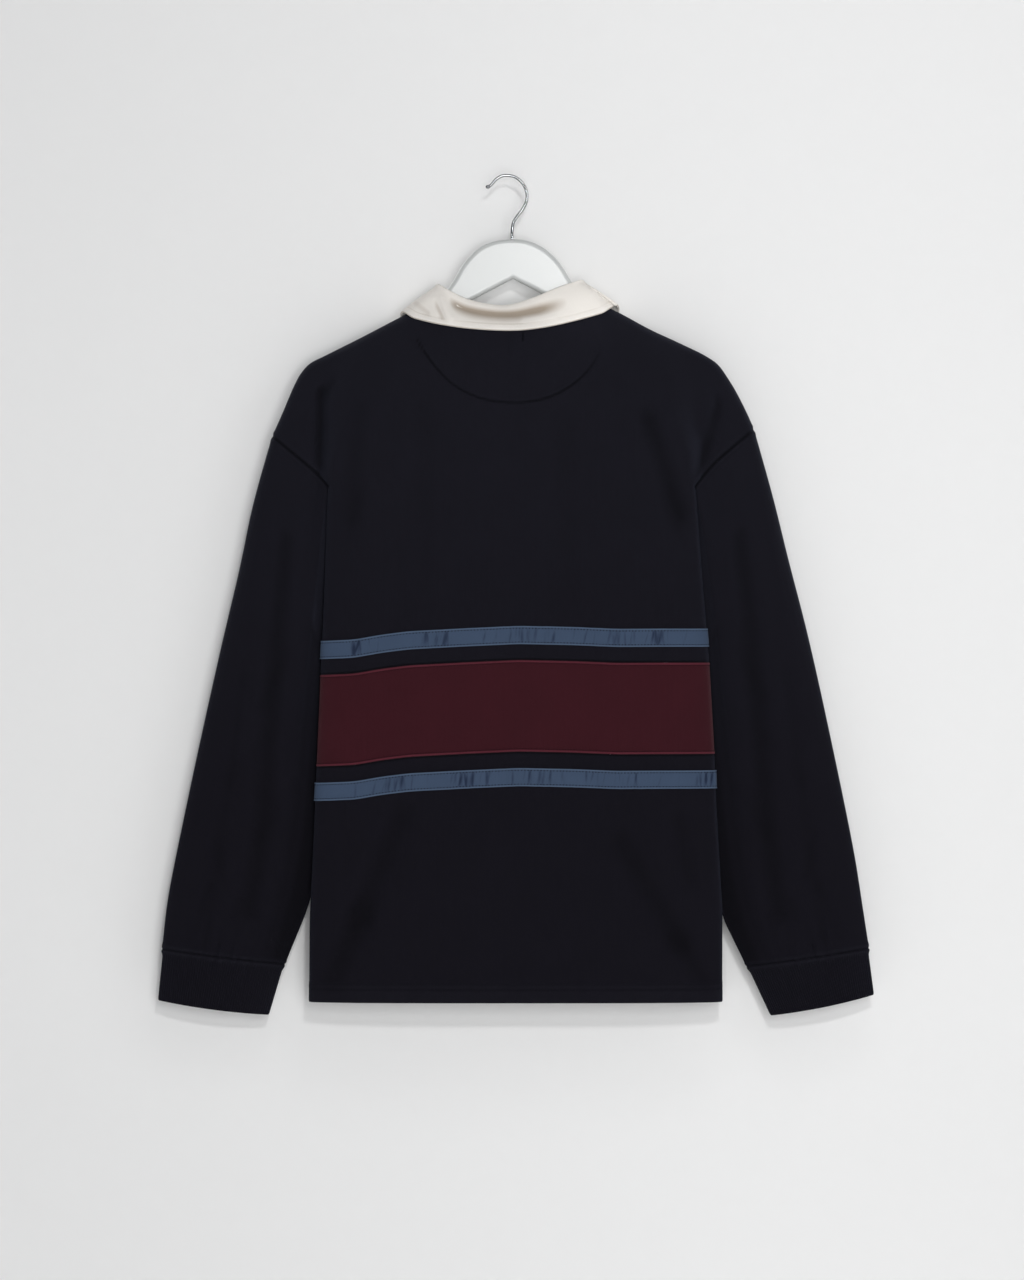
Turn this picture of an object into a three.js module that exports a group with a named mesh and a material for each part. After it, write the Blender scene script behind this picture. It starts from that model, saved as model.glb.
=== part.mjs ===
// Rugby shirt on a hanger, hung by the hanger's hook and seen from the shirt's back.
// Millimetres, +Z up. The shirt's back faces -Y and its right sleeve lies on +X.
// The origin is the inner top of the hook, where a rail or a peg carries it.

import * as THREE from "three";

// Driving dimensions
const clothWall = 1.6;
const ribWall = 2.2;
const collarWall = 2;
const tapeWall = 0.9;
const placketWall = 1.4;
const seamGap = 0.3;
const armholeGap = 0.45;
const halfSeam = 0.2;
const backDepth = 42;
const frontDepth = 36;
const foldHalfDepth = 20;
const ridgeRadius = 8;
const leanLength = 45;
const sleeveDepth = 22;
const valleyDepth = 17;
const sectionSquareness = 3;
const bodyCentreX = 8;
const neckCentreX = 4;
const backNeckZ = -151;
const frontNeckZ = -205;
const dropZ = -320;
const underarmZ = -436;
const topTape = { top: -463, bottom: -481.5 };
const band = { top: -497.5, bottom: -591.3 };
const bottomTape = { top: -607.9, bottom: -626.4 };
const hemZ = -848;
const hangerDepth = 11;
const wireRadius = 1.5;
const placketWidth = 32;
const buttonRadius = 6;
const buttonHeight = 2.4;

const backFace = -1;
const frontFace = 1;
const leftSide = -1;
const rightSide = 1;

// Colours, read off the photograph's lit cloth
const navy = { color: 0x1b1d27, roughness: 0.92, metalness: 0 };
const burgundy = { color: 0x45202b, roughness: 0.92, metalness: 0 };
const slateBlue = { color: 0x4b5d77, roughness: 0.8, metalness: 0 };
const cream = { color: 0xe0d8cc, roughness: 0.85, metalness: 0 };
const lacquer = { color: 0xeef0ef, roughness: 0.35, metalness: 0 };
const chrome = { color: 0xc9cccf, roughness: 0.12, metalness: 1 };
const buttonWhite = { color: 0xe9e6df, roughness: 0.3, metalness: 0 };

// Shoulder ridge, from the neck out over the hanger's end to the top of the armhole
const shoulderLine = {
  [leftSide]: [
    { x: -76.2, z: -128.2 },
    { x: -105.1, z: -142.7 },
    { x: -150.4, z: -166.3 },
    { x: -186.7, z: -184.5 },
    { x: -202.2, z: -192.6 },
    { x: -211.4, z: -202.7 },
    { x: -217.8, z: -214.2 },
    { x: -231.0, z: -245.0 },
    { x: -241.0, z: -267.3 },
  ],
  [rightSide]: [
    { x: 84.5, z: -126.2 },
    { x: 113.3, z: -138.5 },
    { x: 149.0, z: -157.6 },
    { x: 177.9, z: -171.0 },
    { x: 206.7, z: -185.2 },
    { x: 218.4, z: -193.6 },
    { x: 228.0, z: -206.5 },
    { x: 237.4, z: -222.0 },
    { x: 249.0, z: -245.0 },
    { x: 255.7, z: -260.4 },
  ],
};

// Armhole seam, from the shoulder's end down to where the body's fold hides it
const armholeLine = {
  [leftSide]: [
    { x: -241.0, z: -267.3 },
    { x: -212.2, z: -291.0 },
    { x: -193.5, z: -307.5 },
    { x: -182.6, z: -320.0 },
  ],
  [rightSide]: [
    { x: 255.7, z: -260.4 },
    { x: 231.0, z: -281.0 },
    { x: 212.5, z: -298.0 },
    { x: 194.2, z: -320.0 },
  ],
};

// Body's side fold and the tuck behind it where the sleeve lies, by height
const bodySides = [
  { z: -226, left: -178.2, right: 186.4, tuck: 14 },
  { z: -320, left: -182.6, right: 194.2, tuck: 16 },
  { z: -395, left: -185.6, right: 200.0, tuck: 17 },
  { z: -436, left: -187.3, right: 203.4, tuck: 17 },
  { z: -501, left: -190.5, right: 208.7, tuck: 17 },
  { z: -539, left: -191.9, right: 211.0, tuck: 17 },
  { z: -591, left: -194.2, right: 213.9, tuck: 15.5 },
  { z: -642, left: -196.3, right: 215.6, tuck: 13.5 },
  { z: -708, left: -199.2, right: 219.4, tuck: 10 },
  { z: -752, left: -201.2, right: 222.0, tuck: 5 },
  { z: -848, left: -201.9, right: 221.8, tuck: 2 },
];

// How far the cross seams dip along the back, as the cloth hangs to the left
const seamDip = [
  { x: -200, dip: -16 },
  { x: -155, dip: -14 },
  { x: -127, dip: -9 },
  { x: -99, dip: -5.5 },
  { x: -43, dip: -2.5 },
  { x: 13, dip: 0 },
  { x: 70, dip: -1.2 },
  { x: 112, dip: -3 },
  { x: 154, dip: -2.8 },
  { x: 222, dip: -2.8 },
];

// Sleeve edges, each from the armhole down to the cuff seam
const sleeveOuter = {
  [leftSide]: [
    { x: -241.0, z: -267.3 },
    { x: -254.4, z: -314.3 },
    { x: -262.7, z: -346.6 },
    { x: -273.8, z: -400.2 },
    { x: -294.0, z: -486.7 },
    { x: -312.4, z: -569.1 },
    { x: -333.7, z: -669.0 },
    { x: -348.6, z: -745.2 },
    { x: -354.6, z: -796.0 },
  ],
  [rightSide]: [
    { x: 255.7, z: -260.4 },
    { x: 264.4, z: -291.0 },
    { x: 276.0, z: -333.2 },
    { x: 291.3, z: -395.0 },
    { x: 311.5, z: -474.0 },
    { x: 337.4, z: -591.1 },
    { x: 359.3, z: -699.5 },
    { x: 367.6, z: -752.1 },
    { x: 374.2, z: -795.0 },
  ],
};
const sleeveInner = {
  [leftSide]: [
    { x: -174.6, z: -500.0 },
    { x: -177.4, z: -539.0 },
    { x: -185.4, z: -642.0 },
    { x: -191.9, z: -704.0 },
    { x: -204.4, z: -753.4 },
    { x: -216.2, z: -783.3 },
    { x: -227.8, z: -811.6 },
  ],
  [rightSide]: [
    { x: 193.9, z: -500.0 },
    { x: 196.6, z: -539.0 },
    { x: 204.6, z: -642.0 },
    { x: 211.4, z: -704.0 },
    { x: 223.8, z: -763.0 },
    { x: 234.4, z: -786.4 },
    { x: 247.8, z: -813.8 },
  ],
};
const cuffEnds = {
  [leftSide]: { outer: { x: -356.8, z: -846.2 }, inner: { x: -244.0, z: -860.3 }, sag: -2.5 },
  [rightSide]: { outer: { x: 377.6, z: -840.7 }, inner: { x: 272.4, z: -861.3 }, sag: -2.5 },
};

// Sleeve thickness along its length, as half depth to each face
const sleeveSections = [
  { t: 0, half: 22 },
  { t: 0.3, half: 21 },
  { t: 0.7, half: 19 },
  { t: 0.92, half: 17 },
  { t: 1, half: 14.5 },
];

// Largest soft folds of the body: a trough where depth is positive, a ridge where negative
const bodyFolds = {
  [backFace]: [
    { x1: -105, z1: -651, x2: -148, z2: -757, depth: 3, width: 15 },
    { x1: -148, z1: -757, x2: -178, z2: -826, depth: 3.4, width: 14 },
    { x1: 117, z1: -682, x2: 176, z2: -784, depth: 3, width: 15 },
    { x1: 176, z1: -784, x2: 201, z2: -824, depth: 2.6, width: 12 },
    { x1: 176, z1: -660, x2: 188, z2: -719, depth: 2.2, width: 12 },
    { x1: 145, z1: -250, x2: 178, z2: -347, depth: 2.6, width: 16 },
    { x1: -150, z1: -240, x2: -160, z2: -350, depth: 2.2, width: 15 },
    { x1: -84, z1: -240, x2: -78, z2: -420, depth: 1.6, width: 22 },
    { x1: 60, z1: -250, x2: 66, z2: -430, depth: 1.6, width: 24 },
    { x1: 126, z1: -370, x2: 132, z2: -450, depth: -1.6, width: 20 },
  ],
  [frontFace]: [
    { x1: -100, z1: -640, x2: -150, z2: -800, depth: 3, width: 16 },
    { x1: 110, z1: -650, x2: 165, z2: -810, depth: 3, width: 16 },
    { x1: -140, z1: -250, x2: -158, z2: -400, depth: 2.4, width: 17 },
    { x1: 148, z1: -250, x2: 170, z2: -390, depth: 2.4, width: 17 },
    { x1: -40, z1: -420, x2: -52, z2: -600, depth: 1.6, width: 24 },
    { x1: 64, z1: -420, x2: 80, z2: -600, depth: 1.6, width: 24 },
  ],
};

// Soft folds down each sleeve; across runs 0 at the outer edge to 1 at the inner seam
const sleeveFolds = [
  { from: 0.12, to: 0.9, acrossTop: 0.5, acrossEnd: 0.62, depth: 3.4, width: 0.1 },
  { from: 0.3, to: 1, acrossTop: 0.76, acrossEnd: 0.84, depth: 2.4, width: 0.07 },
  { from: 0.45, to: 0.98, acrossTop: 0.26, acrossEnd: 0.34, depth: 1.8, width: 0.09 },
];
const cuffGathers = { count: 7, from: 0.22, to: 0.86, depth: 0.8, reach: 0.07 };

// Collar, one row per section round the neck. Turn runs from -2 at the left front edge,
// through -1 at the left shoulder, 0 at the centre back and 1 at the right, to 2.
const collarSections = [
  { turn: -1.92, foldX: -7, foldY: 27, foldZ: -188, edgeX: -46, edgeZ: -250 },
  { turn: -1.75, foldX: -27, foldY: 25, foldZ: -180, edgeX: -68, edgeZ: -230 },
  { turn: -1.5, foldX: -50, foldY: 21, foldZ: -165, edgeX: -90, edgeZ: -200 },
  { turn: -1.25, foldX: -66, foldY: 12, foldZ: -138, edgeX: -104, edgeZ: -168 },
  { turn: -1, foldX: -70.5, foldY: 0, foldZ: -112.6, edgeX: -107, edgeZ: -143.7 },
  { turn: -0.75, foldX: -60, foldY: -8, foldZ: -117.5, edgeX: -93, edgeZ: -147.6 },
  { turn: -0.5, foldX: -42, foldY: -11, foldZ: -126.6, edgeX: -66, edgeZ: -154.3 },
  { turn: -0.25, foldX: -21, foldY: -13, foldZ: -132.4, edgeX: -30, edgeZ: -159.2 },
  { turn: 0, foldX: 1, foldY: -13.5, foldZ: -134, edgeX: 9, edgeZ: -160.6 },
  { turn: 0.25, foldX: 26, foldY: -13, foldZ: -127, edgeX: 40, edgeZ: -157.2 },
  { turn: 0.5, foldX: 50, foldY: -11, foldZ: -117, edgeX: 70, edgeZ: -150.6 },
  { turn: 0.75, foldX: 68, foldY: -8, foldZ: -110.4, edgeX: 96, edgeZ: -142.8 },
  { turn: 1, foldX: 79, foldY: 0, foldZ: -109, edgeX: 111, edgeZ: -137.6 },
  { turn: 1.25, foldX: 74.5, foldY: 12, foldZ: -136, edgeX: 111, edgeZ: -165 },
  { turn: 1.5, foldX: 58, foldY: 21, foldZ: -164, edgeX: 98, edgeZ: -199 },
  { turn: 1.75, foldX: 35, foldY: 25, foldZ: -180, edgeX: 76, edgeZ: -230 },
  { turn: 1.92, foldX: 15, foldY: 27, foldZ: -188, edgeX: 54, edgeZ: -250 },
];

// Hanger's hump between the shoulders, and the run of its hook's wire
const hangerHump = [
  { x: -69.0, z: -127.2 },
  { x: -54.9, z: -108.7 },
  { x: -43.3, z: -89.1 },
  { x: -27.3, z: -73.2 },
  { x: -11.5, z: -66.4 },
  { x: 6.2, z: -64.4 },
  { x: 23.7, z: -66.4 },
  { x: 41.2, z: -75.2 },
  { x: 55.6, z: -89.1 },
  { x: 67.0, z: -107.6 },
  { x: 77.2, z: -125.6 },
];
const hangerUnder = { apexX: 7.2, apexZ: -105.2, slope: 0.52, left: -201, right: 213 };
const hangerDrop = 2.5;
const hookRun = [
  { x: -20.4, z: -11.4 },
  { x: -14.4, z: -7.2 },
  { x: -9.8, z: -2.8 },
  { x: -5.0, z: 0.4 },
  { x: 0.0, z: 1.5 },
  { x: 8.2, z: 0.2 },
  { x: 14.8, z: -4.2 },
  { x: 19.6, z: -10.9 },
  { x: 21.6, z: -18.0 },
  { x: 20.8, z: -26.0 },
  { x: 16.7, z: -34.0 },
  { x: 11.3, z: -41.0 },
  { x: 7.7, z: -47.2 },
  { x: 6.4, z: -53.5 },
  { x: 6.2, z: -64.1 },
];

// Stations: rows from the shoulder to the drop of the armhole, and columns to each side
const shoulderRows = [0, 0.004, 0.016, 0.045, 0.1, 0.19, 0.31, 0.46, 0.64, 0.82, 1];
const armholeRows = 5;
const neckShares = [0, 0.24, 0.47, 0.68, 0.85, 0.955, 1];
const neckColumns = neckShares.length - 1;
const shoulderShares = [0, 0.15, 0.32, 0.48, 0.6, 0.675, 0.75, 0.86, 1];
const shoulderColumns = shoulderShares.length - 1;
const sideColumns = neckColumns + shoulderColumns;
const sideWarp = 1.5;
const sectionSamples = 96;
const levelUnit = 100;

const lerp = THREE.MathUtils.lerp;
const clamp = THREE.MathUtils.clamp;
const smooth = THREE.MathUtils.smoothstep;
const point = (x, y, z) => new THREE.Vector3(x, y, z);

// A value of a table at a place between its rows
function tableAt(table, key, place, column) {
  const rising = table[table.length - 1][key] > table[0][key];
  let i = 0;
  while (i < table.length - 2 && (rising ? place > table[i + 1][key] : place < table[i + 1][key])) {
    i += 1;
  }
  const span = table[i + 1][key] - table[i][key];
  const t = clamp((place - table[i][key]) / span, 0, 1);
  return lerp(table[i][column], table[i + 1][column], t);
}

// A smooth line through a table's points, read by its share of length
function flatCurve(table) {
  const points = table.map((row) => point(row.x, 0, row.z));
  const curve = new THREE.CatmullRomCurve3(points, false, "centripetal");
  curve.arcLengthDivisions = 400;
  return curve;
}
const shoulders = {
  [leftSide]: flatCurve(shoulderLine[leftSide]),
  [rightSide]: flatCurve(shoulderLine[rightSide]),
};
const armholes = {
  [leftSide]: flatCurve(armholeLine[leftSide]),
  [rightSide]: flatCurve(armholeLine[rightSide]),
};

// The ridge that the cloth hangs from, level across the open neck
const ridgeSamples = 60;
const ridge = [];
for (const side of [leftSide, rightSide]) {
  for (let i = 0; i <= ridgeSamples; i += 1) {
    const share = side === leftSide ? 1 - i / ridgeSamples : i / ridgeSamples;
    ridge.push(shoulders[side].getPointAt(share));
  }
}

// Distance from the ridge in the hanging plane, and the ridge's outward direction there
function ridgeDistance(x, z) {
  let best = { distance: Infinity, outX: 0, outZ: 1, above: false };
  for (let i = 0; i < ridge.length - 1; i += 1) {
    const a = ridge[i];
    const b = ridge[i + 1];
    const runX = b.x - a.x;
    const runZ = b.z - a.z;
    const length = Math.hypot(runX, runZ);
    const t = clamp(((x - a.x) * runX + (z - a.z) * runZ) / (length * length), 0, 1);
    const distance = Math.hypot(x - a.x - t * runX, z - a.z - t * runZ);
    if (distance < best.distance) {
      const above = (z - a.z) * runX - (x - a.x) * runZ > 0;
      best = { distance, outX: -runZ / length, outZ: runX / length, above };
    }
  }
  return best;
}

// Depth of the cloth below the ridge: round the hanger's arm, then leaning out to the body
function hangingDepth(x, z, face) {
  const { distance } = ridgeDistance(x, z);
  const side = x < bodyCentreX ? leftSide : rightSide;
  const bodyDepth = face === backFace ? backDepth : frontDepth;
  const foldX = Math.abs(tableAt(bodySides, "z", z, side === leftSide ? "left" : "right"));
  const past = Math.abs(x) - foldX;
  const softness = lerp(26, 7, smooth(-z, 215, 310));
  const beyond = smooth(past, -softness, softness);
  const valley = smooth(-z, 205, 300) * Math.exp(-(((past - 9) / 9) ** 2));
  const depth = lerp(bodyDepth, sleeveDepth, beyond) - (sleeveDepth - valleyDepth) * valley;
  const near = clamp(distance / ridgeRadius, 0, 1);
  const round = ridgeRadius * Math.sqrt(1 - (1 - near) ** 2);
  return round + (depth - ridgeRadius) * (1 - Math.exp(-distance / leanLength));
}

// Extra depth from the table of soft folds
function foldDepth(x, z, face) {
  let depth = 0;
  for (const fold of bodyFolds[face]) {
    const runX = fold.x2 - fold.x1;
    const runZ = fold.z2 - fold.z1;
    const t = ((x - fold.x1) * runX + (z - fold.z1) * runZ) / (runX * runX + runZ * runZ);
    const nearX = x - fold.x1 - clamp(t, 0, 1) * runX;
    const nearZ = z - fold.z1 - clamp(t, 0, 1) * runZ;
    depth += fold.depth * Math.exp(-(nearX * nearX + nearZ * nearZ) / fold.width ** 2);
  }
  return depth;
}

// Half of the body's level section, from the centre round the side fold to the tuck
function halfSection(side, face, z, endDepth) {
  const edge = Math.abs(tableAt(bodySides, "z", z, side === leftSide ? "left" : "right") - bodyCentreX);
  const tuck = tableAt(bodySides, "z", z, "tuck");
  const depth = face === backFace ? backDepth : frontDepth;
  const samples = [{ x: 0, y: depth, length: 0 }];
  const add = (x, y) => {
    const last = samples[samples.length - 1];
    samples.push({ x, y, length: last.length + Math.hypot(x - last.x, y - last.y) });
  };
  for (let i = 1; i <= sectionSamples; i += 1) {
    const share = Math.sin((i / sectionSamples) * Math.PI / 2);
    const drop = (1 - share ** sectionSquareness) ** (1 / sectionSquareness);
    add(edge * share, foldHalfDepth + (depth - foldHalfDepth) * drop);
  }
  const tuckSamples = 24;
  for (let i = 1; i <= tuckSamples; i += 1) {
    const y = lerp(foldHalfDepth, endDepth, i / tuckSamples);
    add(edge - tuck * smooth(1 - y / foldHalfDepth, 0, 1), y);
  }
  return samples;
}

function alongSection(samples, share) {
  const target = share * samples[samples.length - 1].length;
  let i = 0;
  while (i < samples.length - 2 && samples[i + 1].length < target) {
    i += 1;
  }
  const a = samples[i];
  const b = samples[i + 1];
  const t = b.length > a.length ? clamp((target - a.length) / (b.length - a.length), 0, 1) : 0;
  return { x: lerp(a.x, b.x, t), y: lerp(a.y, b.y, t) };
}

const columnShare = (u) => 1 - (1 - Math.abs(u)) ** sideWarp;

// A level row of the body below the armhole's drop, at columns from -1 to 1
function levelRow(face, z, columns, endDepth) {
  const sections = {
    [leftSide]: halfSection(leftSide, face, z, endDepth),
    [rightSide]: halfSection(rightSide, face, z, endDepth),
  };
  const leftDip = seamDip[0].dip;
  const rightDip = seamDip[seamDip.length - 1].dip;
  const dipShare = smooth(-z, -dropZ, 450) * (1 - smooth(-z, 650, -hemZ));
  return columns.map((u) => {
    const side = u < 0 ? leftSide : rightSide;
    const place = alongSection(sections[side], columnShare(u));
    const x = bodyCentreX + side * place.x;
    const dip = face === backFace
      ? tableAt(seamDip, "x", x, "dip")
      : lerp(leftDip, rightDip, smooth(x, -190, 210));
    const fade = smooth(place.y, foldHalfDepth, foldHalfDepth + 14);
    return point(x, face * (place.y - fade * foldDepth(x, z, face)), z + dip * dipShare);
  });
}

// The neck seam, by its column counted from the centre
function neckPlace(side, face, column) {
  const end = shoulderLine[side][0];
  const centreZ = face === backFace ? backNeckZ : frontNeckZ;
  const low = Math.min(Math.floor(column), neckColumns - 1);
  const turn = (lerp(neckShares[low], neckShares[low + 1], column - low) * Math.PI) / 2;
  return { x: lerp(neckCentreX, end.x, Math.sin(turn)), z: lerp(end.z, centreZ, Math.cos(turn)) };
}

function topPlace(side, face, u) {
  const column = Math.abs(u) * sideColumns;
  if (column <= neckColumns) {
    return neckPlace(side, face, column);
  }
  const along = clamp(column - neckColumns, 0, shoulderColumns);
  const low = Math.min(Math.floor(along), shoulderColumns - 1);
  const spot = shoulders[side].getPointAt(lerp(shoulderShares[low], shoulderShares[low + 1], along - low));
  return { x: spot.x, z: spot.z };
}

// A row of the shoulder part: share 0 is the neck and shoulder seam, 1 the armhole's drop
function shoulderRow(face, share, columns) {
  const dropRow = levelRow(face, dropZ, columns, foldHalfDepth);
  return columns.map((u, i) => {
    const side = u < 0 ? leftSide : rightSide;
    const across = Math.abs(u);
    const top = topPlace(side, face, u);
    const topCentre = topPlace(side, face, 0);
    const topEnd = topPlace(side, face, side);
    const arm = armholes[side].getPointAt(share);
    const armEnd = armholes[side].getPointAt(1);
    const blend = (key, bottom, bottomCentre) => lerp(top[key], bottom, share)
      + lerp(lerp(topCentre[key], bottomCentre, share), arm[key], across)
      - lerp(
        lerp(topCentre[key], topEnd[key], across),
        lerp(bottomCentre, armEnd[key], across),
        share,
      );
    const x = blend("x", dropRow[i].x, bodyCentreX);
    const z = blend("z", dropRow[i].z, dropZ);
    const hanging = hangingDepth(x, z, face) - foldDepth(x, z, face) * smooth(share, 0.2, 0.5);
    const depth = lerp(hanging, Math.abs(dropRow[i].y), smooth(share, 0.5, 1));
    return point(x, face * Math.max(depth, halfSeam), z);
  });
}

// Any row of the body: run 0 to 0.5 is the shoulder part, 0.5 to 1 the armhole's hidden
// part, and past 1 each unit is another 100 mm down
function bodyRow(face, run, columns) {
  if (run <= 0.5) {
    return shoulderRow(face, run * 2, columns);
  }
  if (run < 1) {
    const share = run * 2 - 1;
    const endDepth = lerp(foldHalfDepth, halfSeam, share);
    return levelRow(face, lerp(dropZ, underarmZ, share), columns, endDepth);
  }
  return levelRow(face, underarmZ - (run - 1) * levelUnit, columns, halfSeam);
}
const runAt = (z) => 1 + (underarmZ - z) / levelUnit;

// A grid of the body's outer points with their outward directions
function bodyGrid(face, runs, columns) {
  const step = 0.01;
  return runs.map((run) => {
    const row = bodyRow(face, run, columns);
    const above = bodyRow(face, Math.max(run - step, 0), columns);
    const below = bodyRow(face, run + step, columns);
    return row.map((spot, i) => {
      const u = columns[i];
      const side = u < 0 ? leftSide : rightSide;
      const across = row[Math.min(i + 1, row.length - 1)].clone().sub(row[Math.max(i - 1, 0)]);
      const down = below[i].clone().sub(above[i]);
      const out = down.cross(across).multiplyScalar(-face).normalize();
      if (run === 0 && Math.abs(u) * sideColumns >= neckColumns) {
        const top = ridgeDistance(spot.x, spot.z);
        out.set(top.outX, 0, top.outZ);
      }
      if (run >= 1 && Math.abs(u) === 1) {
        out.set(side, 0, 0);
      }
      return { spot, out };
    });
  });
}

// A closed wall from a grid: the outer face is the grid moved out by lift
function wallGeometry(grid, wall, lift = 0, closed = false) {
  const rows = grid.length;
  const columns = grid[0].length;
  const positions = [];
  for (const offset of [lift, lift - wall]) {
    for (const row of grid) {
      for (const { spot, out } of row) {
        positions.push(spot.x + out.x * offset, spot.y + out.y * offset, spot.z + out.z * offset);
      }
    }
  }
  const inner = rows * columns;
  const at = (row, column) => row * columns + (column % columns);
  const faces = [];
  const quad = (a, b, c, d) => faces.push(a, b, c, a, c, d);
  const lastColumn = closed ? columns : columns - 1;
  for (let row = 0; row < rows - 1; row += 1) {
    for (let column = 0; column < lastColumn; column += 1) {
      const a = at(row, column);
      const b = at(row, column + 1);
      const c = at(row + 1, column + 1);
      const d = at(row + 1, column);
      quad(a, b, c, d);
      quad(a + inner, d + inner, c + inner, b + inner);
    }
  }
  for (let column = 0; column < lastColumn; column += 1) {
    const a = at(0, column);
    const b = at(0, column + 1);
    const c = at(rows - 1, column);
    const d = at(rows - 1, column + 1);
    quad(a + inner, b + inner, b, a);
    quad(c, d, d + inner, c + inner);
  }
  if (!closed) {
    for (let row = 0; row < rows - 1; row += 1) {
      const a = at(row, 0);
      const b = at(row + 1, 0);
      const c = at(row, columns - 1);
      const d = at(row + 1, columns - 1);
      quad(a, b, b + inner, a + inner);
      quad(d, c, c + inner, d + inner);
    }
  }
  return facingOut(positions, faces);
}

// The geometry of a closed body, turned if its faces point in
function facingOut(positions, faces) {
  const corner = (index) => point(...positions.slice(index * 3, index * 3 + 3));
  let volume = 0;
  for (let i = 0; i < faces.length; i += 3) {
    const [a, b, c] = [corner(faces[i]), corner(faces[i + 1]), corner(faces[i + 2])];
    volume += a.dot(b.cross(c));
  }
  if (volume < 0) {
    faces.reverse();
  }
  const geometry = new THREE.BufferGeometry();
  geometry.setAttribute("position", new THREE.Float32BufferAttribute(positions, 3));
  geometry.setIndex(faces);
  return geometry;
}

const group = new THREE.Group();
function addPiece(name, geometry, finish) {
  const mesh = new THREE.Mesh(geometry, new THREE.MeshStandardMaterial(finish));
  mesh.name = name;
  group.add(mesh);
  return mesh;
}

// Body panels, front and back: upper, coloured band and lower, each cut on its own
const bodyColumns = [];
for (let i = -sideColumns; i <= sideColumns; i += 1) {
  bodyColumns.push(i / sideColumns);
}
const armholeRuns = shoulderRows.map((share) => share / 2);
for (let i = 1; i <= armholeRows; i += 1) {
  armholeRuns.push(0.5 + (0.5 * i) / armholeRows);
}
const upperRuns = [...armholeRuns, ...[topTape.top, topTape.bottom, band.top + halfSeam].map(runAt)];
const bandRuns = [band.top - halfSeam, -530, -560, band.bottom + halfSeam].map(runAt);
const lowerLevels = [band.bottom - halfSeam, bottomTape.top, bottomTape.bottom, -675, -725, -775, -815, hemZ];
const lowerRuns = lowerLevels.map(runAt);

for (const [face, name] of [[backFace, "back"], [frontFace, "front"]]) {
  const panel = (runs) => bodyGrid(face, runs, bodyColumns);
  addPiece(`${name}_upper`, wallGeometry(panel(upperRuns), clothWall), navy);
  addPiece(`${name}_band`, wallGeometry(panel(bandRuns), clothWall), burgundy);
  addPiece(`${name}_lower`, wallGeometry(panel(lowerRuns), clothWall), navy);
  const tapeLift = seamGap + tapeWall;
  for (const [tapeName, tape] of [["top", topTape], ["bottom", bottomTape]]) {
    const grid = panel([tape.top, tape.bottom].map(runAt));
    addPiece(`${name}_tape_${tapeName}`, wallGeometry(grid, tapeWall, tapeLift), slateBlue);
  }
}

// Sleeve and cuff, tubes round from the outer edge over the back to the inner seam and back
const sleeveRows = [0, 0.03, 0.075, 0.13, 0.2, 0.28, 0.37, 0.47, 0.57, 0.67, 0.77, 0.86, 0.93, 0.97, 1];
const halfRing = armholeRuns.length - 1;

function armholeSpot(side, face, index) {
  const row = bodyRow(face, armholeRuns[index], [side]);
  return row[0];
}

function ringPlaces() {
  const places = [];
  for (let i = 0; i < 2 * halfRing; i += 1) {
    const index = i <= halfRing ? i : 2 * halfRing - i;
    const face = i <= halfRing ? backFace : frontFace;
    const across = (1 - Math.cos((Math.PI * index) / halfRing)) / 2;
    const onEdge = index === 0 || index === halfRing;
    places.push({ index, face, across, onEdge });
  }
  return places;
}

const lens = (across) => Math.sin(Math.PI * across) ** lerp(0.55, 0.85, across);

function sleeveFoldDepth(t, across) {
  let depth = 0;
  for (const fold of sleeveFolds) {
    const along = clamp((t - fold.from) / (fold.to - fold.from), 0, 1);
    const centre = lerp(fold.acrossTop, fold.acrossEnd, along);
    const fade = smooth(t, fold.from - 0.05, fold.from + 0.12) * (1 - smooth(t, fold.to - 0.1, fold.to));
    depth += fold.depth * fade * Math.exp(-(((across - centre) / fold.width) ** 2));
  }
  const gatherFade = smooth(t, 1 - cuffGathers.reach * 2, 1 - cuffGathers.reach / 2);
  const gather = clamp((across - cuffGathers.from) / (cuffGathers.to - cuffGathers.from), 0, 1);
  const wave = Math.sin(Math.PI * gather) * Math.cos(2 * Math.PI * cuffGathers.count * gather);
  return depth + cuffGathers.depth * gatherFade * wave;
}

function sleeveGrid(side) {
  const outer = flatCurve(sleeveOuter[side]);
  const underarm = armholeSpot(side, backFace, halfRing);
  const inner = flatCurve([{ x: underarm.x, z: underarm.z }, ...sleeveInner[side]]);
  const places = ringPlaces();
  const armTop = outer.getPointAt(0);
  const cuffOuter = outer.getPointAt(1);
  const cuffInner = inner.getPointAt(1);
  const starts = places.map((place) => {
    const spot = armholeSpot(side, place.face, place.index);
    spot.x += side * armholeGap * place.across ** 2;
    return spot;
  });
  const ringAt = (t) => {
    const outerSpot = outer.getPointAt(t);
    const innerSpot = inner.getPointAt(t);
    const half = tableAt(sleeveSections, "t", t, "half");
    const fromArm = 1 - smooth(t, 0, 0.32);
    return places.map((place, i) => {
      const { across, face } = place;
      const blend = (key) => lerp(outerSpot[key], innerSpot[key], across)
        + lerp(starts[i][key], lerp(cuffOuter[key], cuffInner[key], across), t)
        - lerp(
          lerp(armTop[key], inner.getPointAt(0)[key], across),
          lerp(cuffOuter[key], cuffInner[key], across),
          t,
        );
      const loose = half * lens(across) - sleeveFoldDepth(t, across) * lens(across);
      const depth = place.onEdge ? 0 : lerp(loose, Math.abs(starts[i].y), fromArm);
      return point(blend("x"), face * depth, blend("z"));
    });
  };
  return tubeGrid(side, ringAt, sleeveRows);
}

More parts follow.
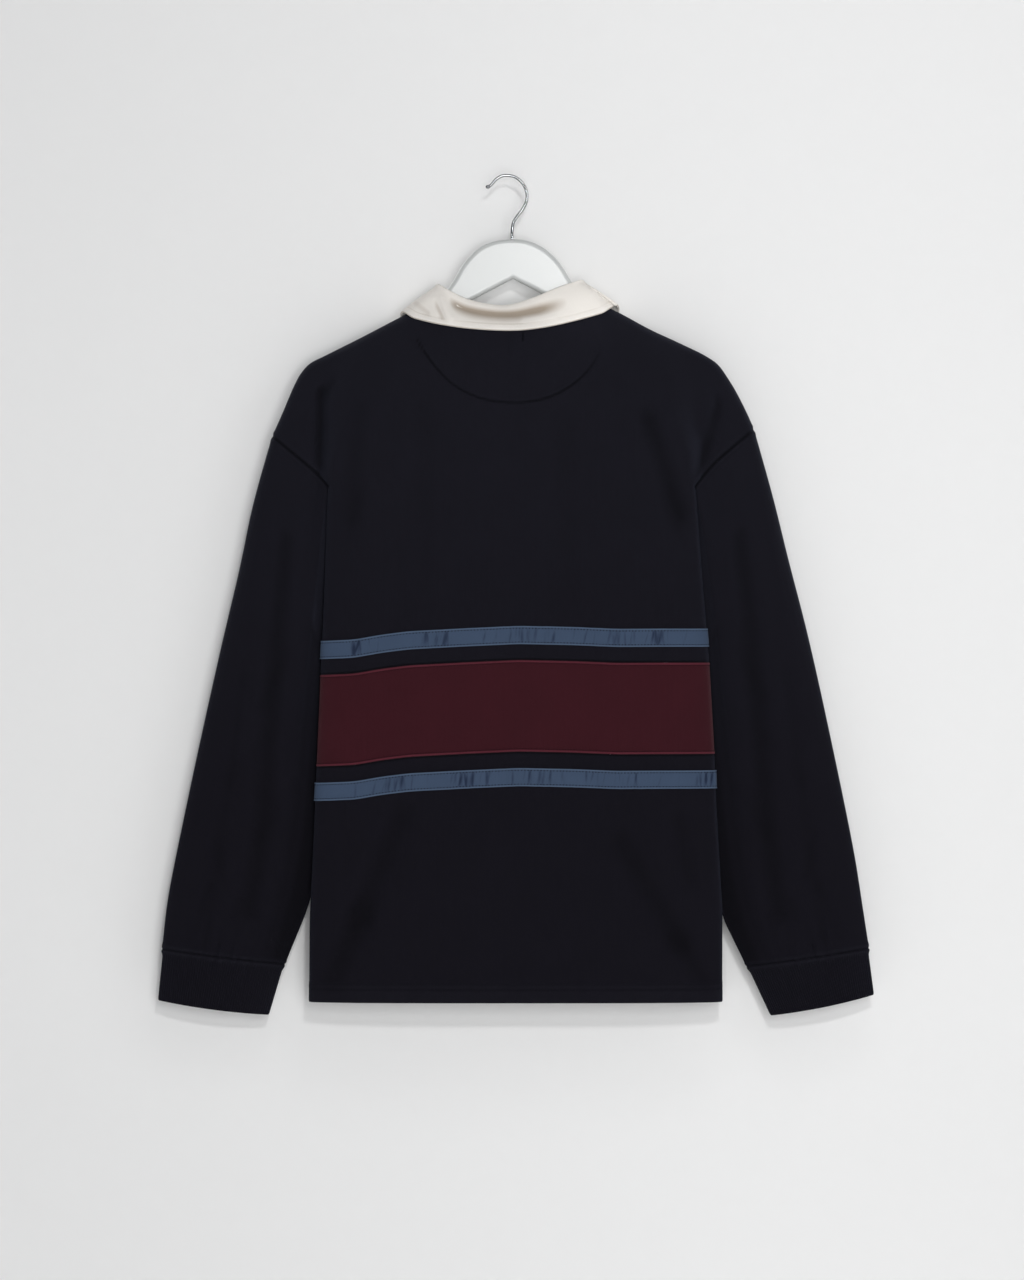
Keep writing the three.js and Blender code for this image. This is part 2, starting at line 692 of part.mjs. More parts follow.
// A tube's grid of rings with their outward directions, kept clear of both its end seams
function tubeGrid(side, ringAt, rows) {
  const step = 0.004;
  return rows.map((t) => {
    const ring = ringAt(t);
    const above = ringAt(Math.max(t - step, 0));
    const below = ringAt(Math.min(t + step, 1));
    const count = ring.length;
    return ring.map((spot, i) => {
      const around = ring[(i + 1) % count].clone().sub(ring[(i + count - 1) % count]).normalize();
      const down = below[i].clone().sub(above[i]).normalize();
      const out = down.clone().cross(around).multiplyScalar(-side).normalize();
      if (t === 0) {
        const away = down.addScaledVector(around, -down.dot(around)).normalize();
        spot.addScaledVector(away, armholeGap);
      }
      return { spot, out };
    });
  });
}

function cuffGrid(side, sleeve) {
  const places = ringPlaces();
  const seam = sleeve[sleeve.length - 1].map(({ spot }) => spot);
  const ends = cuffEnds[side];
  const ringAt = (t) => places.map((place, i) => {
    const narrow = smooth(t, 0, 0.16);
    const across = lerp(0.012, 0.988, place.across);
    const sag = ends.sag * Math.sin(Math.PI * place.across);
    const bottomX = lerp(ends.outer.x, ends.inner.x, place.across);
    const bottomZ = lerp(ends.outer.z, ends.inner.z, place.across) + sag;
    const seamX = lerp(seam[0].x, seam[halfRing].x, lerp(place.across, across, narrow));
    const half = lerp(14, 13, t) * Math.sin(Math.PI * place.across) ** 0.6;
    const depth = lerp(Math.abs(seam[i].y), half, narrow);
    return point(lerp(seamX, bottomX, t), place.face * depth, lerp(seam[i].z, bottomZ, t));
  });
  return tubeGrid(side, ringAt, [0, 0.16, 0.6, 1]);
}

for (const [side, name] of [[leftSide, "left"], [rightSide, "right"]]) {
  const sleeve = sleeveGrid(side);
  addPiece(`sleeve_${name}`, wallGeometry(sleeve, clothWall, 0, true), navy);
  const cuff = cuffGrid(side, sleeve);
  addPiece(`cuff_${name}`, wallGeometry(cuff, ribWall, 0, true), navy);
}

// Collar: a band standing on the neck seam, rolled over at the fold and falling outside
const collarSteps = 44;
const collarSeat = 1.7;
const collarInset = 0.9;
const collarFallLift = 3.4;
const collarRoll = { width: 4.5, drop: 3.4 };

// A place on the body's shoulder part, moved out from the cloth by lift
function onShoulder(x, z, face, lift) {
  const top = ridgeDistance(x, z);
  const upward = clamp(1 - top.distance / ridgeRadius, 0, 1);
  const outward = face * Math.sqrt(1 - upward * upward) * lift;
  const depth = face * hangingDepth(x, z, face);
  return point(x + top.outX * upward * lift, depth + outward, z + top.outZ * upward * lift);
}

// The neck seam as the panels' edges run, between the ends of their columns
function neckSeamSpot(side, face, share) {
  let low = 0;
  while (low < neckColumns - 1 && neckShares[low + 1] < share) {
    low += 1;
  }
  const [a, b] = [low, low + 1].map((column) => {
    const place = neckPlace(side, face, column);
    return onShoulder(place.x, place.z, face, 0);
  });
  return a.lerp(b, (share - neckShares[low]) / (neckShares[low + 1] - neckShares[low]));
}

function collarCurve(columnX, columnY, columnZ) {
  const points = collarSections.map((row) => point(row[columnX], columnY ? row[columnY] : 0, row[columnZ]));
  return new THREE.CatmullRomCurve3(points, false, "catmullrom", 0.5);
}

function collarGrid() {
  const foldCurve = collarCurve("foldX", "foldY", "foldZ");
  const edgeCurve = collarCurve("edgeX", null, "edgeZ");
  const sections = [];
  for (let i = 0; i <= collarSteps; i += 1) {
    const share = i / collarSteps;
    const row = share * (collarSections.length - 1);
    const low = Math.min(Math.floor(row), collarSections.length - 2);
    const turn = lerp(collarSections[low].turn, collarSections[low + 1].turn, row - low);
    const face = Math.abs(turn) <= 1 ? backFace : frontFace;
    const side = turn < 0 ? leftSide : rightSide;
    const seam = neckSeamSpot(side, face, face === backFace ? Math.abs(turn) : 2 - Math.abs(turn));
    const fold = foldCurve.getPoint(share);
    const edgePlace = edgeCurve.getPoint(share);
    const edge = onShoulder(edgePlace.x, edgePlace.z, face, collarFallLift);
    const lean = point(edge.x - fold.x, edge.y - fold.y, 0).normalize();
    const rise = fold.clone().sub(seam).normalize();
    const start = seam.clone().addScaledVector(rise, collarSeat);
    start.x -= face === frontFace ? side * collarInset : 0;
    const roll = fold.clone().addScaledVector(lean, collarRoll.width);
    roll.z -= collarRoll.drop;
    const crest = fold.clone().addScaledVector(lean, 1.2);
    const inside = fold.clone().addScaledVector(lean, -1.2);
    inside.z -= 3;
    const falls = [0, 0.35, 0.7].map((way) => {
      const spot = roll.clone().lerp(edge, way).addScaledVector(lean, way > 0 ? 1.2 : 0);
      const top = ridgeDistance(spot.x, spot.z);
      const clear = top.above ? 0 : hangingDepth(spot.x, spot.z, face) + lerp(2.4, 3.2, way);
      spot.y = face * Math.max(face * spot.y, clear);
      return spot;
    });
    sections.push([start, start.clone().lerp(inside, 0.5), inside, crest, ...falls, edge]);
  }
  return sections.map((section, i) => section.map((spot, j) => {
    const next = sections[Math.min(i + 1, collarSteps)][j];
    const last = sections[Math.max(i - 1, 0)][j];
    const up = section[Math.min(j + 1, section.length - 1)].clone().sub(section[Math.max(j - 1, 0)]);
    const out = up.cross(next.clone().sub(last)).normalize();
    return { spot, out };
  }));
}
addPiece("collar", wallGeometry(collarGrid(), collarWall, collarWall / 2), cream);

// Placket down the front from the neck, with its buttons
function frontColumnAt(run, x) {
  const side = x < bodyCentreX ? leftSide : rightSide;
  let low = 0;
  let high = 0.5;
  for (let i = 0; i < 24; i += 1) {
    const middle = (low + high) / 2;
    const spot = bodyRow(frontFace, run, [side * middle])[0];
    const inside = side * (spot.x - x) < 0;
    low = inside ? middle : low;
    high = inside ? high : middle;
  }
  return side * low;
}

const placketRuns = [0.004, ...shoulderRows.slice(3).map((share) => share / 2), 0.62, 0.68];
const placketGrid = placketRuns.map((run) => {
  const centre = lerp(neckCentreX, bodyCentreX, clamp(run * 2, 0, 1));
  const columns = [-1, 0, 1].map((side) => frontColumnAt(run, centre + (side * placketWidth) / 2));
  return bodyGrid(frontFace, [run], columns)[0];
});
const placketLift = placketWall + 0.9;
addPiece("placket", wallGeometry(placketGrid, placketWall, placketLift), cream);

const buttonPlaces = [{ row: 1 }, { row: 5 }, { row: 8 }];
buttonPlaces.forEach(({ row }, i) => {
  const { spot, out } = placketGrid[row][1];
  const button = addPiece(
    `button_${i + 1}`,
    new THREE.CylinderGeometry(buttonRadius, buttonRadius, buttonHeight, 20),
    buttonWhite,
  );
  button.quaternion.setFromUnitVectors(point(0, 1, 0), out);
  button.position.copy(spot).addScaledVector(out, placketLift + seamGap + buttonHeight / 2);
});

// Hanger: a flat lacquered body with rounded edges under the shoulders
function hangerOutline() {
  const top = [];
  const follow = (side, shares) => {
    for (const share of shares) {
      const spot = shoulders[side].getPointAt(share);
      const { outX, outZ } = ridgeDistance(spot.x, spot.z);
      top.push(new THREE.Vector2(spot.x - outX * hangerDrop, spot.z - outZ * hangerDrop));
    }
  };
  follow(leftSide, [0.61, 0.56, 0.44, 0.3, 0.16, 0.05]);
  hangerHump.forEach((row) => top.push(new THREE.Vector2(row.x, row.z)));
  follow(rightSide, [0.05, 0.16, 0.3, 0.44, 0.56, 0.61]);
  const { apexX, apexZ, slope, left, right } = hangerUnder;
  const under = (x) => new THREE.Vector2(x, apexZ - slope * Math.abs(x - apexX));
  return [...top, under(right), under(right - 9), under(apexX), under(left + 9), under(left)];
}
const hangerBevel = 4.5;
const hangerGeometry = new THREE.ExtrudeGeometry(new THREE.Shape(hangerOutline()), {
  depth: hangerDepth - 2 * hangerBevel,
  bevelThickness: hangerBevel,
  bevelSize: hangerBevel,
  bevelOffset: -hangerBevel,
  bevelSegments: 3,
});
const hanger = addPiece("hanger", hangerGeometry, lacquer);
hanger.rotation.x = Math.PI / 2;
hanger.position.y = (hangerDepth - 2 * hangerBevel) / 2;

// Hook: one bent wire
const wireQuarterSides = 4;
const wireShape = new THREE.Shape();
wireShape.absarc(0, 0, wireRadius, 0, Math.PI * 2);
const hookCurve = new THREE.CatmullRomCurve3(hookRun.map((row) => point(row.x, 0, row.z)));
const hookGeometry = new THREE.ExtrudeGeometry(wireShape, {
  steps: 44,
  curveSegments: wireQuarterSides,
  extrudePath: hookCurve,
});
addPiece("hook", hookGeometry, chrome);

export default group;
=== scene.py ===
# %% [markdown]
# A rugby shirt hangs on a white hanger and turns its back to us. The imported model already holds
# every piece at its real size and place. This lesson dresses it: each plain solid gets a finer piece
# of the same form, and then its cloth, thread, lacquer or chrome. The frame is loaded first, and
# nothing in it is moved.

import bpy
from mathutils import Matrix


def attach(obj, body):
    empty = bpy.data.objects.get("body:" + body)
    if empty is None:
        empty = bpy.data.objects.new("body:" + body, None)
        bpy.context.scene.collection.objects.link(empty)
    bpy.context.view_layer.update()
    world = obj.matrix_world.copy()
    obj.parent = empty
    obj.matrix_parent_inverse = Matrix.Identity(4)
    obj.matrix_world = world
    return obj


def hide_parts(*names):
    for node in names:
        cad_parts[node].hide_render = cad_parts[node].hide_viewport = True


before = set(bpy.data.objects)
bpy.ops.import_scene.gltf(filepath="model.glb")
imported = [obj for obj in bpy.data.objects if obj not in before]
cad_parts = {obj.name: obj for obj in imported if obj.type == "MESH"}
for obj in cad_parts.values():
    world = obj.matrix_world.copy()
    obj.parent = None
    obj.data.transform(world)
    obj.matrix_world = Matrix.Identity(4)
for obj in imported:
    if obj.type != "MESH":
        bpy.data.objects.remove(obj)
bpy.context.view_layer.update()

# %% [markdown]
# All shapes below are worked out as grids of points in millimetres, which suits cloth: a grid has a
# row for each level and a column for each place across. Numpy moves thousands of points at once, so
# there is no slow loop over vertices. These few helpers blend, ease and draw rounded lines.

# %% Helpers for numbers and lines
import math

import bpy
import numpy as np
from mathutils.bvhtree import BVHTree

MM = 0.001
BACK, FRONT = -1, 1
LEFT, RIGHT = -1, 1
chance = np.random.default_rng(11)


def mix(a, b, share):
    return a + (b - a) * share


def smooth(value, low, high):
    share = np.clip((value - low) / (high - low), 0, 1)
    return share * share * (3 - 2 * share)


def hump(value, centre, width):
    return np.exp(-(((value - centre) / width) ** 2))


def round_line(points, steps=24):
    """A rounded line through points: its many points, and each one's share of the length."""
    p = np.asarray(points, float)
    p = np.vstack([2 * p[0] - p[1], p, 2 * p[-1] - p[-2]])
    knots = np.append(0, np.cumsum(np.sqrt(np.linalg.norm(np.diff(p, axis=0), axis=1))))
    spans = []
    for i in range(1, len(p) - 2):
        s = np.linspace(knots[i], knots[i + 1], steps, endpoint=False)[:, None]

        def between(first, last, a, b):
            return mix(a, b, (s - knots[first]) / (knots[last] - knots[first]))

        start = between(i - 1, i, p[i - 1], p[i])
        middle = between(i, i + 1, p[i], p[i + 1])
        end = between(i + 1, i + 2, p[i + 1], p[i + 2])
        near = between(i - 1, i + 1, start, middle)
        far = between(i, i + 2, middle, end)
        spans.append(between(i, i + 1, near, far))
    line = np.vstack([*spans, p[-2:-1]])
    length = np.append(0, np.cumsum(np.linalg.norm(np.diff(line, axis=0), axis=1)))
    return line, length / length[-1]


def along(line, share):
    points, shares = line
    return np.stack([np.interp(share, shares, column) for column in points.T], -1)


def even_curve(values, place):
    """Rounded values between table rows, where each row counts the same."""
    v = np.asarray(values, float)
    v = np.concatenate([[2 * v[0] - v[1]], v, [2 * v[-1] - v[-2]]])
    i = np.clip(np.floor(place).astype(int), 0, len(values) - 2)
    t = (place - i).reshape(-1, *[1] * (v.ndim - 1))
    a, b, c, d = v[i], v[i + 1], v[i + 2], v[i + 3]
    bend = (2 * a - 5 * b + 4 * c - d) * t**2 + (3 * b - a - 3 * c + d) * t**3
    return 0.5 * (2 * b + (c - a) * t + bend)


def eased(places, values, reach):
    """A table's line with its corners eased over reach, as two lists for np.interp."""
    fine = np.arange(places[0], places[-1] + 0.5)
    line = np.interp(fine, places, values)
    window = np.hanning(2 * reach + 1)
    before = 2 * line[0] - line[reach:0:-1]
    after = 2 * line[-1] - line[-2:-reach - 2:-1]
    padded = np.concatenate([before, line, after])
    return fine, np.convolve(padded, window / window.sum(), "valid")


def graded(start, end, fine, coarse, reach):
    """Places from start to end, close together near both ends."""
    half = [0.0]
    length = abs(end - start)
    while half[-1] < length / 2:
        half.append(half[-1] + mix(fine, coarse, min(half[-1] / reach, 1)))
    half = np.array(half) * length / 2 / half[-1]
    whole = np.concatenate([half, length - half[-2::-1]])
    return start + np.sign(end - start) * whole


print("places along 20 mm:", graded(0, 20, 1, 4, 8).round(1))

# %% [markdown]
# The shirt's measures are those of the real garment, read off its outline in millimetres from the
# hook's inner top: x to the right, z up, and y out of the shirt's front. The same tables shaped the
# plain solids, so the fine cloth lands on them. The body is 42 mm proud at the back, and its side
# folds lie over the sleeves.

# %% Measures of the body and the shoulders
cloth_wall, rib_wall, collar_wall, tape_wall, placket_wall = 1.6, 2.2, 2.0, 0.9, 1.4
seam_gap, armhole_gap, half_seam, half_join = 0.3, 0.45, 0.2, 0.06
# levels in mm over which the navy is painted lighter upwards, as painted light
painted_top_light_between = (-640, -200)
body_depth = {BACK: 42, FRONT: 36}
fold_half, ridge_radius, lean_length = 20, 8, 45
sleeve_depth, valley_depth = 22, 17
body_centre, neck_centre = 8, 4
neck_z = {BACK: -151, FRONT: -205}
drop_z, underarm_z, hem_z = -320, -436, -848
band = (-497.5, -591.3)
tapes = {"top": (-463.0, -481.5), "bottom": (-607.9, -626.4)}

shoulder_points = {
    LEFT: [(-76.2, -128.2), (-105.1, -142.7), (-150.4, -166.3), (-186.7, -184.5), (-202.2, -192.6),
           (-211.4, -202.7), (-217.8, -214.2), (-231.0, -245.0), (-241.0, -267.3)],
    RIGHT: [(84.5, -126.2), (113.3, -138.5), (149.0, -157.6), (177.9, -171.0), (206.7, -185.2),
            (218.4, -193.6), (228.0, -206.5), (237.4, -222.0), (249.0, -245.0), (255.7, -260.4)],
}
armhole_points = {
    LEFT: [(-241.0, -267.3), (-212.2, -291.0), (-193.5, -307.5), (-182.6, -320.0)],
    RIGHT: [(255.7, -260.4), (231.0, -281.0), (212.5, -298.0), (194.2, -320.0)],
}
side_drops = [226, 320, 395, 436, 501, 539, 591, 642, 708, 752, 848]
side_folds = {
    LEFT: [-178.2, -182.6, -185.6, -187.3, -190.5, -191.9, -194.2, -196.3, -199.2, -201.2, -201.9],
    RIGHT: [186.4, 194.2, 200.0, 203.4, 208.7, 211.0, 213.9, 215.6, 219.4, 222.0, 221.8],
}
side_tucks = [14, 16, 17, 17, 17, 17, 15.5, 13.5, 10, 5, 2]
dip_places = [-200, -155, -127, -99, -43, 13, 70, 112, 154, 222]
seam_dips = [-16, -14, -9, -5.5, -2.5, 0, -1.2, -3, -2.8, -2.8]

shoulders = {side: round_line(points) for side, points in shoulder_points.items()}
armholes = {side: round_line(points) for side, points in armhole_points.items()}
side_lines = {side: eased(side_drops, line, 18) for side, line in side_folds.items()}
tuck_line = eased(side_drops, side_tucks, 18)
dip_line = eased(dip_places, seam_dips, 14)
ridge = np.vstack([along(shoulders[LEFT], np.linspace(1, 0, 61)),
                   along(shoulders[RIGHT], np.linspace(0, 1, 61))])
print("width over the shoulders", ridge[-1, 0] - ridge[0, 0], "mm")

# %% [markdown]
# Hung cloth is not flat: it bends round the hanger's arm and then leans out. One function gives its
# depth at any place below the shoulder line. The large folds are soft troughs, each a short line
# with a depth and a width, and a ridge is a trough with a negative depth. A cloth simulation could
# make folds too, but placed ones fall where this shirt has them, on the back and on the front.

# %% Depth of hung cloth and its folds
body_folds = {
    # x and z of both ends, depth, width
    BACK: [
        (-105, -651, -148, -757, 3.0, 15), (-148, -757, -178, -826, 3.4, 14),
        (117, -682, 176, -784, 3.0, 15), (176, -784, 201, -824, 2.6, 12),
        (176, -660, 188, -719, 2.2, 12), (145, -250, 178, -347, 2.6, 16),
        (-150, -240, -160, -350, 2.2, 15), (-84, -240, -78, -420, 1.6, 22),
        (60, -250, 66, -430, 1.6, 24), (126, -370, 132, -450, -1.6, 20),
    ],
    FRONT: [
        (-100, -640, -150, -800, 3.0, 16), (110, -650, 165, -810, 3.0, 16),
        (-140, -250, -158, -400, 2.4, 17), (148, -250, 170, -390, 2.4, 17),
        (-40, -420, -52, -600, 1.6, 24), (64, -420, 80, -600, 1.6, 24),
    ],
}


def ridge_distance(x, z):
    """Distance from the shoulder line, its outward direction there, and whether z is above it."""
    starts, runs = ridge[:-1], np.diff(ridge, axis=0)
    squared = (runs**2).sum(1)
    from_x = np.asarray(x)[..., None] - starts[:, 0]
    from_z = np.asarray(z)[..., None] - starts[:, 1]
    t = np.clip((from_x * runs[:, 0] + from_z * runs[:, 1]) / squared, 0, 1)
    distance = np.hypot(from_x - t * runs[:, 0], from_z - t * runs[:, 1])
    best = distance.argmin(-1)
    run = runs[best] / np.sqrt(squared[best])[..., None]
    above = (z - starts[best, 1]) * run[..., 0] - (x - starts[best, 0]) * run[..., 1] > 0
    return distance.min(-1), -run[..., 1], run[..., 0], above


def side_x(side, z):
    return np.interp(-np.asarray(z, float), *side_lines[side])


def hanging_depth(x, z, face):
    distance = ridge_distance(x, z)[0]
    past = np.abs(x) - np.abs(np.where(x < body_centre, side_x(LEFT, z), side_x(RIGHT, z)))
    softness = mix(26, 7, smooth(-z, 215, 310))
    beyond = smooth(past / softness, -1, 1)
    valley = smooth(-z, 205, 300) * hump(past, 9, 9)
    depth = mix(body_depth[face], sleeve_depth, beyond) - (sleeve_depth - valley_depth) * valley
    near = np.clip(distance / ridge_radius, 0, 1)
    rounded = ridge_radius * np.sqrt(1 - (1 - near) ** 2)
    return rounded + (depth - ridge_radius) * (1 - np.exp(-distance / lean_length))


def trough(x, z, x1, z1, x2, z2, depth, width):
    run_x, run_z = x2 - x1, z2 - z1
    t = ((x - x1) * run_x + (z - z1) * run_z) / (run_x**2 + run_z**2)
    t = np.clip(t, 0, 1)
    squared = (x - x1 - t * run_x) ** 2 + (z - z1 - t * run_z) ** 2
    return depth * np.exp(-squared / width**2)


def folds(table, x, z):
    return sum(trough(x, z, *row) for row in table)


print("depth 60 mm under the neck:", hanging_depth(np.array([0.0]), np.array([-190.0]), BACK).round(1))

# %% [markdown]
# Smaller creases make cloth read as cloth. The real back has faint upright drags between the
# shoulders, dents where the hanger's arms end, pulls towards the armholes and slack above the hem.
# The side towards the wall is given like ones. They are added to depth, so both faces of the wall
# follow, and they fade out at the side folds.

# %% Creases of the body
body_creases = {
    BACK: [
        (-190, -222, -191, -330, 5.0, 6), (-178, -214, -186, -226, 2.4, 7),
        (-214, -232, -206, -286, -1.6, 8), (224, -214, 196, -309, 4.2, 7),
        (206, -228, 205, -262, -1.8, 9), (236, -240, 224, -280, -1.2, 8),
        (-90, -166, -84, -176, 1.0, 7), (101, -156, 106, -168, 1.0, 7), (146, -252, 178, -348, 1.3, 7),
        (127, -255, 137, -330, -0.9, 9), (-120, -262, -128, -330, 0.9, 10), (-150, -330, -166, -392, 1.1, 8),
        (166, -330, 184, -392, 1.1, 8), (-56, -262, -50, -372, -0.8, 12), (-22, -290, -26, -410, 0.7, 10),
        (20, -262, 28, -386, -0.7, 12), (92, -300, 98, -396, -0.8, 9), (-112, -380, -106, -452, 0.9, 9),
        (-70, -392, -66, -458, -0.7, 8), (42, -402, 46, -460, 0.7, 8), (150, -402, 158, -455, 0.8, 8),
        (-160, -505, -150, -584, 0.8, 9), (-92, -508, -88, -582, -0.6, 10), (-8, -505, -12, -585, 0.6, 10),
        (86, -506, 92, -584, 0.7, 10), (168, -505, 172, -585, -0.6, 9), (-60, -640, -88, -760, 0.9, 10),
        (-20, -650, -34, -800, -0.7, 12), (34, -642, 44, -770, 0.8, 11), (80, -650, 112, -740, -0.8, 9),
        (-134, -660, -166, -742, -1.1, 8), (140, -672, 188, -760, -1.0, 8), (-172, -640, -186, -700, 1.2, 7),
        (-88, -790, -96, -842, 0.9, 9), (10, -795, 8, -842, 0.7, 9), (70, -786, 78, -842, 0.8, 8),
        (130, -790, 148, -840, -0.9, 8), (-140, -800, -150, -844, -0.8, 7),
    ],
    FRONT: [
        (-186, -218, -174, -240, 2.2, 9), (198, -214, 186, -240, 2.2, 9), (-110, -210, -96, -300, 1.2, 11),
        (118, -206, 106, -300, 1.2, 11), (-60, -280, -50, -400, 0.9, 10), (70, -280, 62, -400, 0.9, 10),
        (-150, -405, -120, -452, 1.0, 9), (160, -405, 134, -452, 1.0, 9), (-100, -505, -96, -584, 0.7, 10),
        (30, -506, 34, -584, -0.6, 10), (128, -505, 124, -585, 0.7, 10), (-44, -650, -70, -790, 0.9, 12),
        (56, -650, 84, -800, -0.9, 12), (-170, -660, -182, -760, 1.2, 8), (182, -660, 196, -760, 1.2, 8),
        (6, -640, 2, -830, 0.7, 14), (-120, -790, -128, -842, -0.9, 8), (112, -796, 122, -842, 0.9, 8),
    ],
}


def pucker_wave(x, seed):
    """Uneven small waves across a sewn-on tape, from a few sines with fixed phases."""
    return (np.sin(x / 1.75 + seed) + np.sin(x / 2.6 + 2 * seed) + 0.7 * np.sin(x / 4.1 + 3 * seed)) / 2.7


pucker_spots = {
    "top": [(-79, 17), (12, 28), (107, 15), (155, 8), (-150, 9)],
    "bottom": [(-113, 8), (35, 34), (145, 24), (204, 7), (-40, 10)],
}


def puckers(x, level, face):
    """Depth of the tapes' puckers, in clusters along each tape."""
    depth = 0
    for seed, (name, (top, bottom)) in enumerate(tapes.items()):
        spots = sum(hump(x * -face, place, width) for place, width in pucker_spots[name])
        strength = np.clip(0.18 + spots, 0, 1)
        inside = smooth(level, bottom - 7, bottom + 4) * (1 - smooth(level, top - 4, top + 7))
        depth = depth + 0.42 * strength * inside * pucker_wave(x, seed + 1 + face)
    return depth


print("creases on the back:", len(body_creases[BACK]), "and on the front:", len(body_creases[FRONT]))

# %% [markdown]
# Below the arms each level of the body is a flat, rounded section that ends in a side fold and a
# tuck behind it. Above, rows run from the neck and shoulder seam down to that first level, and a
# blend of the four borders fills the yoke. Every row has the same columns, from -1 at the left side
# to 1 at the right, so the panels meet along their seams.

# %% Rows of the body
neck_shares = [0, 0.24, 0.47, 0.68, 0.85, 0.955, 1]
shoulder_shares = [0, 0.15, 0.32, 0.48, 0.6, 0.675, 0.75, 0.86, 1]
neck_columns, side_columns = len(neck_shares) - 1, len(neck_shares) + len(shoulder_shares) - 2
side_warp, level_unit = 1.5, 100
# painted shade for each mm of a fold's depth, and the depths between which it counts
body_painted_shade, sleeve_painted_shade, painted_shade_reach = 0.078, 0.085, (-0.6, 4.5)


def half_section(side, face, z, end_depth):
    edge = abs(side_x(side, z) - body_centre)
    tuck = np.interp(-z, *tuck_line)
    share = np.sin(np.linspace(0, math.pi / 2, 97))
    y = fold_half + (body_depth[face] - fold_half) * (1 - share**3) ** (1 / 3)
    behind = np.linspace(fold_half, end_depth, 25)[1:]
    x = np.append(edge * share, edge - tuck * smooth(1 - behind / fold_half, 0, 1))
    y = np.append(y, behind)
    length = np.append(0, np.cumsum(np.hypot(np.diff(x), np.diff(y))))
    return x, y, length / length[-1]


def level_row(face, z, columns, end_depth):
    row = np.empty((len(columns), 3))
    for side in (LEFT, RIGHT):
        mine = (columns < 0) == (side == LEFT)
        x, y, length = half_section(side, face, z, end_depth)
        share = 1 - (1 - np.abs(columns[mine])) ** side_warp
        row[mine, 0] = body_centre + side * np.interp(share, length, x)
        row[mine, 1] = np.interp(share, length, y)
    x, depth = row[:, 0], row[:, 1]
    dips = np.interp(x, *dip_line) if face == BACK else mix(-16, -2.8, smooth(x, -190, 210))
    fade = smooth(depth, fold_half, fold_half + 14)
    row[:, 1] = face * (depth - fade * (folds(body_folds[face], x, z) + puckers(x, z, face)))
    row[:, 2] = z + dips * smooth(-z, -drop_z, 450) * (1 - smooth(-z, 650, -hem_z))
    return row


def neck_place(side, face, share):
    corner_x, corner_z = shoulder_points[side][0]
    turn = share * math.pi / 2
    x, z = mix(neck_centre, corner_x, np.sin(turn)), mix(corner_z, neck_z[face], np.cos(turn))
    return np.stack([x, z], -1)


def top_place(side, face, across):
    column = across * side_columns
    neck = neck_place(side, face, np.interp(column, range(neck_columns + 1), neck_shares))
    out = np.interp(column - neck_columns, range(len(shoulder_shares)), shoulder_shares)
    return np.where((column <= neck_columns)[:, None], neck, along(shoulders[side], out))


def shoulder_row(face, share, columns):
    drop = level_row(face, drop_z, columns, fold_half)
    row = np.empty_like(drop)
    low_centre = np.array([body_centre, drop_z])
    for side in (LEFT, RIGHT):
        mine = (columns < 0) == (side == LEFT)
        across = np.abs(columns[mine])[:, None]
        top = top_place(side, face, across[:, 0])
        centre, end = top_place(side, face, np.array([0.0, 1.0]))
        arm, arm_end = along(armholes[side], np.array([share, 1.0]))
        low = drop[mine][:, [0, 2]]
        spot = mix(top, low, share) + mix(mix(centre, low_centre, share), arm, across)
        spot -= mix(mix(centre, end, across), mix(low_centre, arm_end, across), share)
        x, z = spot.T
        hung = hanging_depth(x, z, face) - folds(body_folds[face], x, z) * smooth(share, 0.2, 0.5)
        depth = mix(hung, np.abs(drop[mine][:, 1]), smooth(share, 0.5, 1))
        row[mine] = np.stack([x, face * np.maximum(depth, half_seam), z], -1)
    return row


def crease_fade(run, x, y, z):
    fade = smooth(np.abs(y), 15, 29)
    if run <= 0.5:
        fade = mix(smooth(ridge_distance(x, z)[0], 9, 26), fade, smooth(run * 2, 0.75, 1))
    return fade


def body_row(face, run, columns):
    """run 0 to 0.5 is the yoke, 0.5 to 1 beside the armhole, and past 1 a unit is 100 mm down."""
    columns = np.asarray(columns, float)
    if run <= 0.5:
        row = shoulder_row(face, run * 2, columns)
    elif run < 1:
        share = run * 2 - 1
        row = level_row(face, mix(drop_z, underarm_z, share), columns, mix(fold_half, half_seam, share))
    else:
        row = level_row(face, underarm_z - (run - 1) * level_unit, columns, half_seam)
    x, y, z = row.T
    fade = crease_fade(run, x, y, z)
    crease = folds(body_creases[face], x, z) * fade
    row[:, 1] = y - face * crease
    return row


def painted_fold_shade(face, runs, grid):
    """Painted shade for each place, by how deep it lies in a fold or crease."""
    both_tables = body_folds[face] + body_creases[face]
    depth = []
    for run, row in zip(runs, grid):
        x, y, z = row.T
        depth.append(folds(both_tables, x, z) * crease_fade(run, x, y, z))
    return body_painted_shade * np.clip(depth, *painted_shade_reach)


def run_at(z):
    return 1 + (underarm_z - np.asarray(z, float)) / level_unit


def level_at(run):
    low = underarm_z - (run - 1) * level_unit
    return np.where(run < 1, mix(drop_z, underarm_z, run * 2 - 1), low)


print("neck to hem at the back:", neck_z[BACK] - hem_z, "mm")

# %% [markdown]
# A panel of cloth is a closed shell: the outer face, an inner face one wall thickness behind it, and
# a narrow strip round the edges. Relief, such as a groove or a raised hem, is added to the outer
# face alone. Each point also keeps its place on the flat cloth in millimetres, with the relief less its
# painted shade as third number, and the materials read that to lay their loops and threads along the
# grain and to paint shade where the cloth sinks.

# %% Make a shell of cloth
def outward(grid, turn=1, closed=False):
    down = np.gradient(grid, axis=0)
    if closed:
        across = np.roll(grid, -1, axis=1) - np.roll(grid, 1, axis=1)
    else:
        across = np.gradient(grid, axis=1)
    out = np.cross(down, across) * turn
    return out / np.maximum(np.linalg.norm(out, axis=-1, keepdims=True), 1e-9)


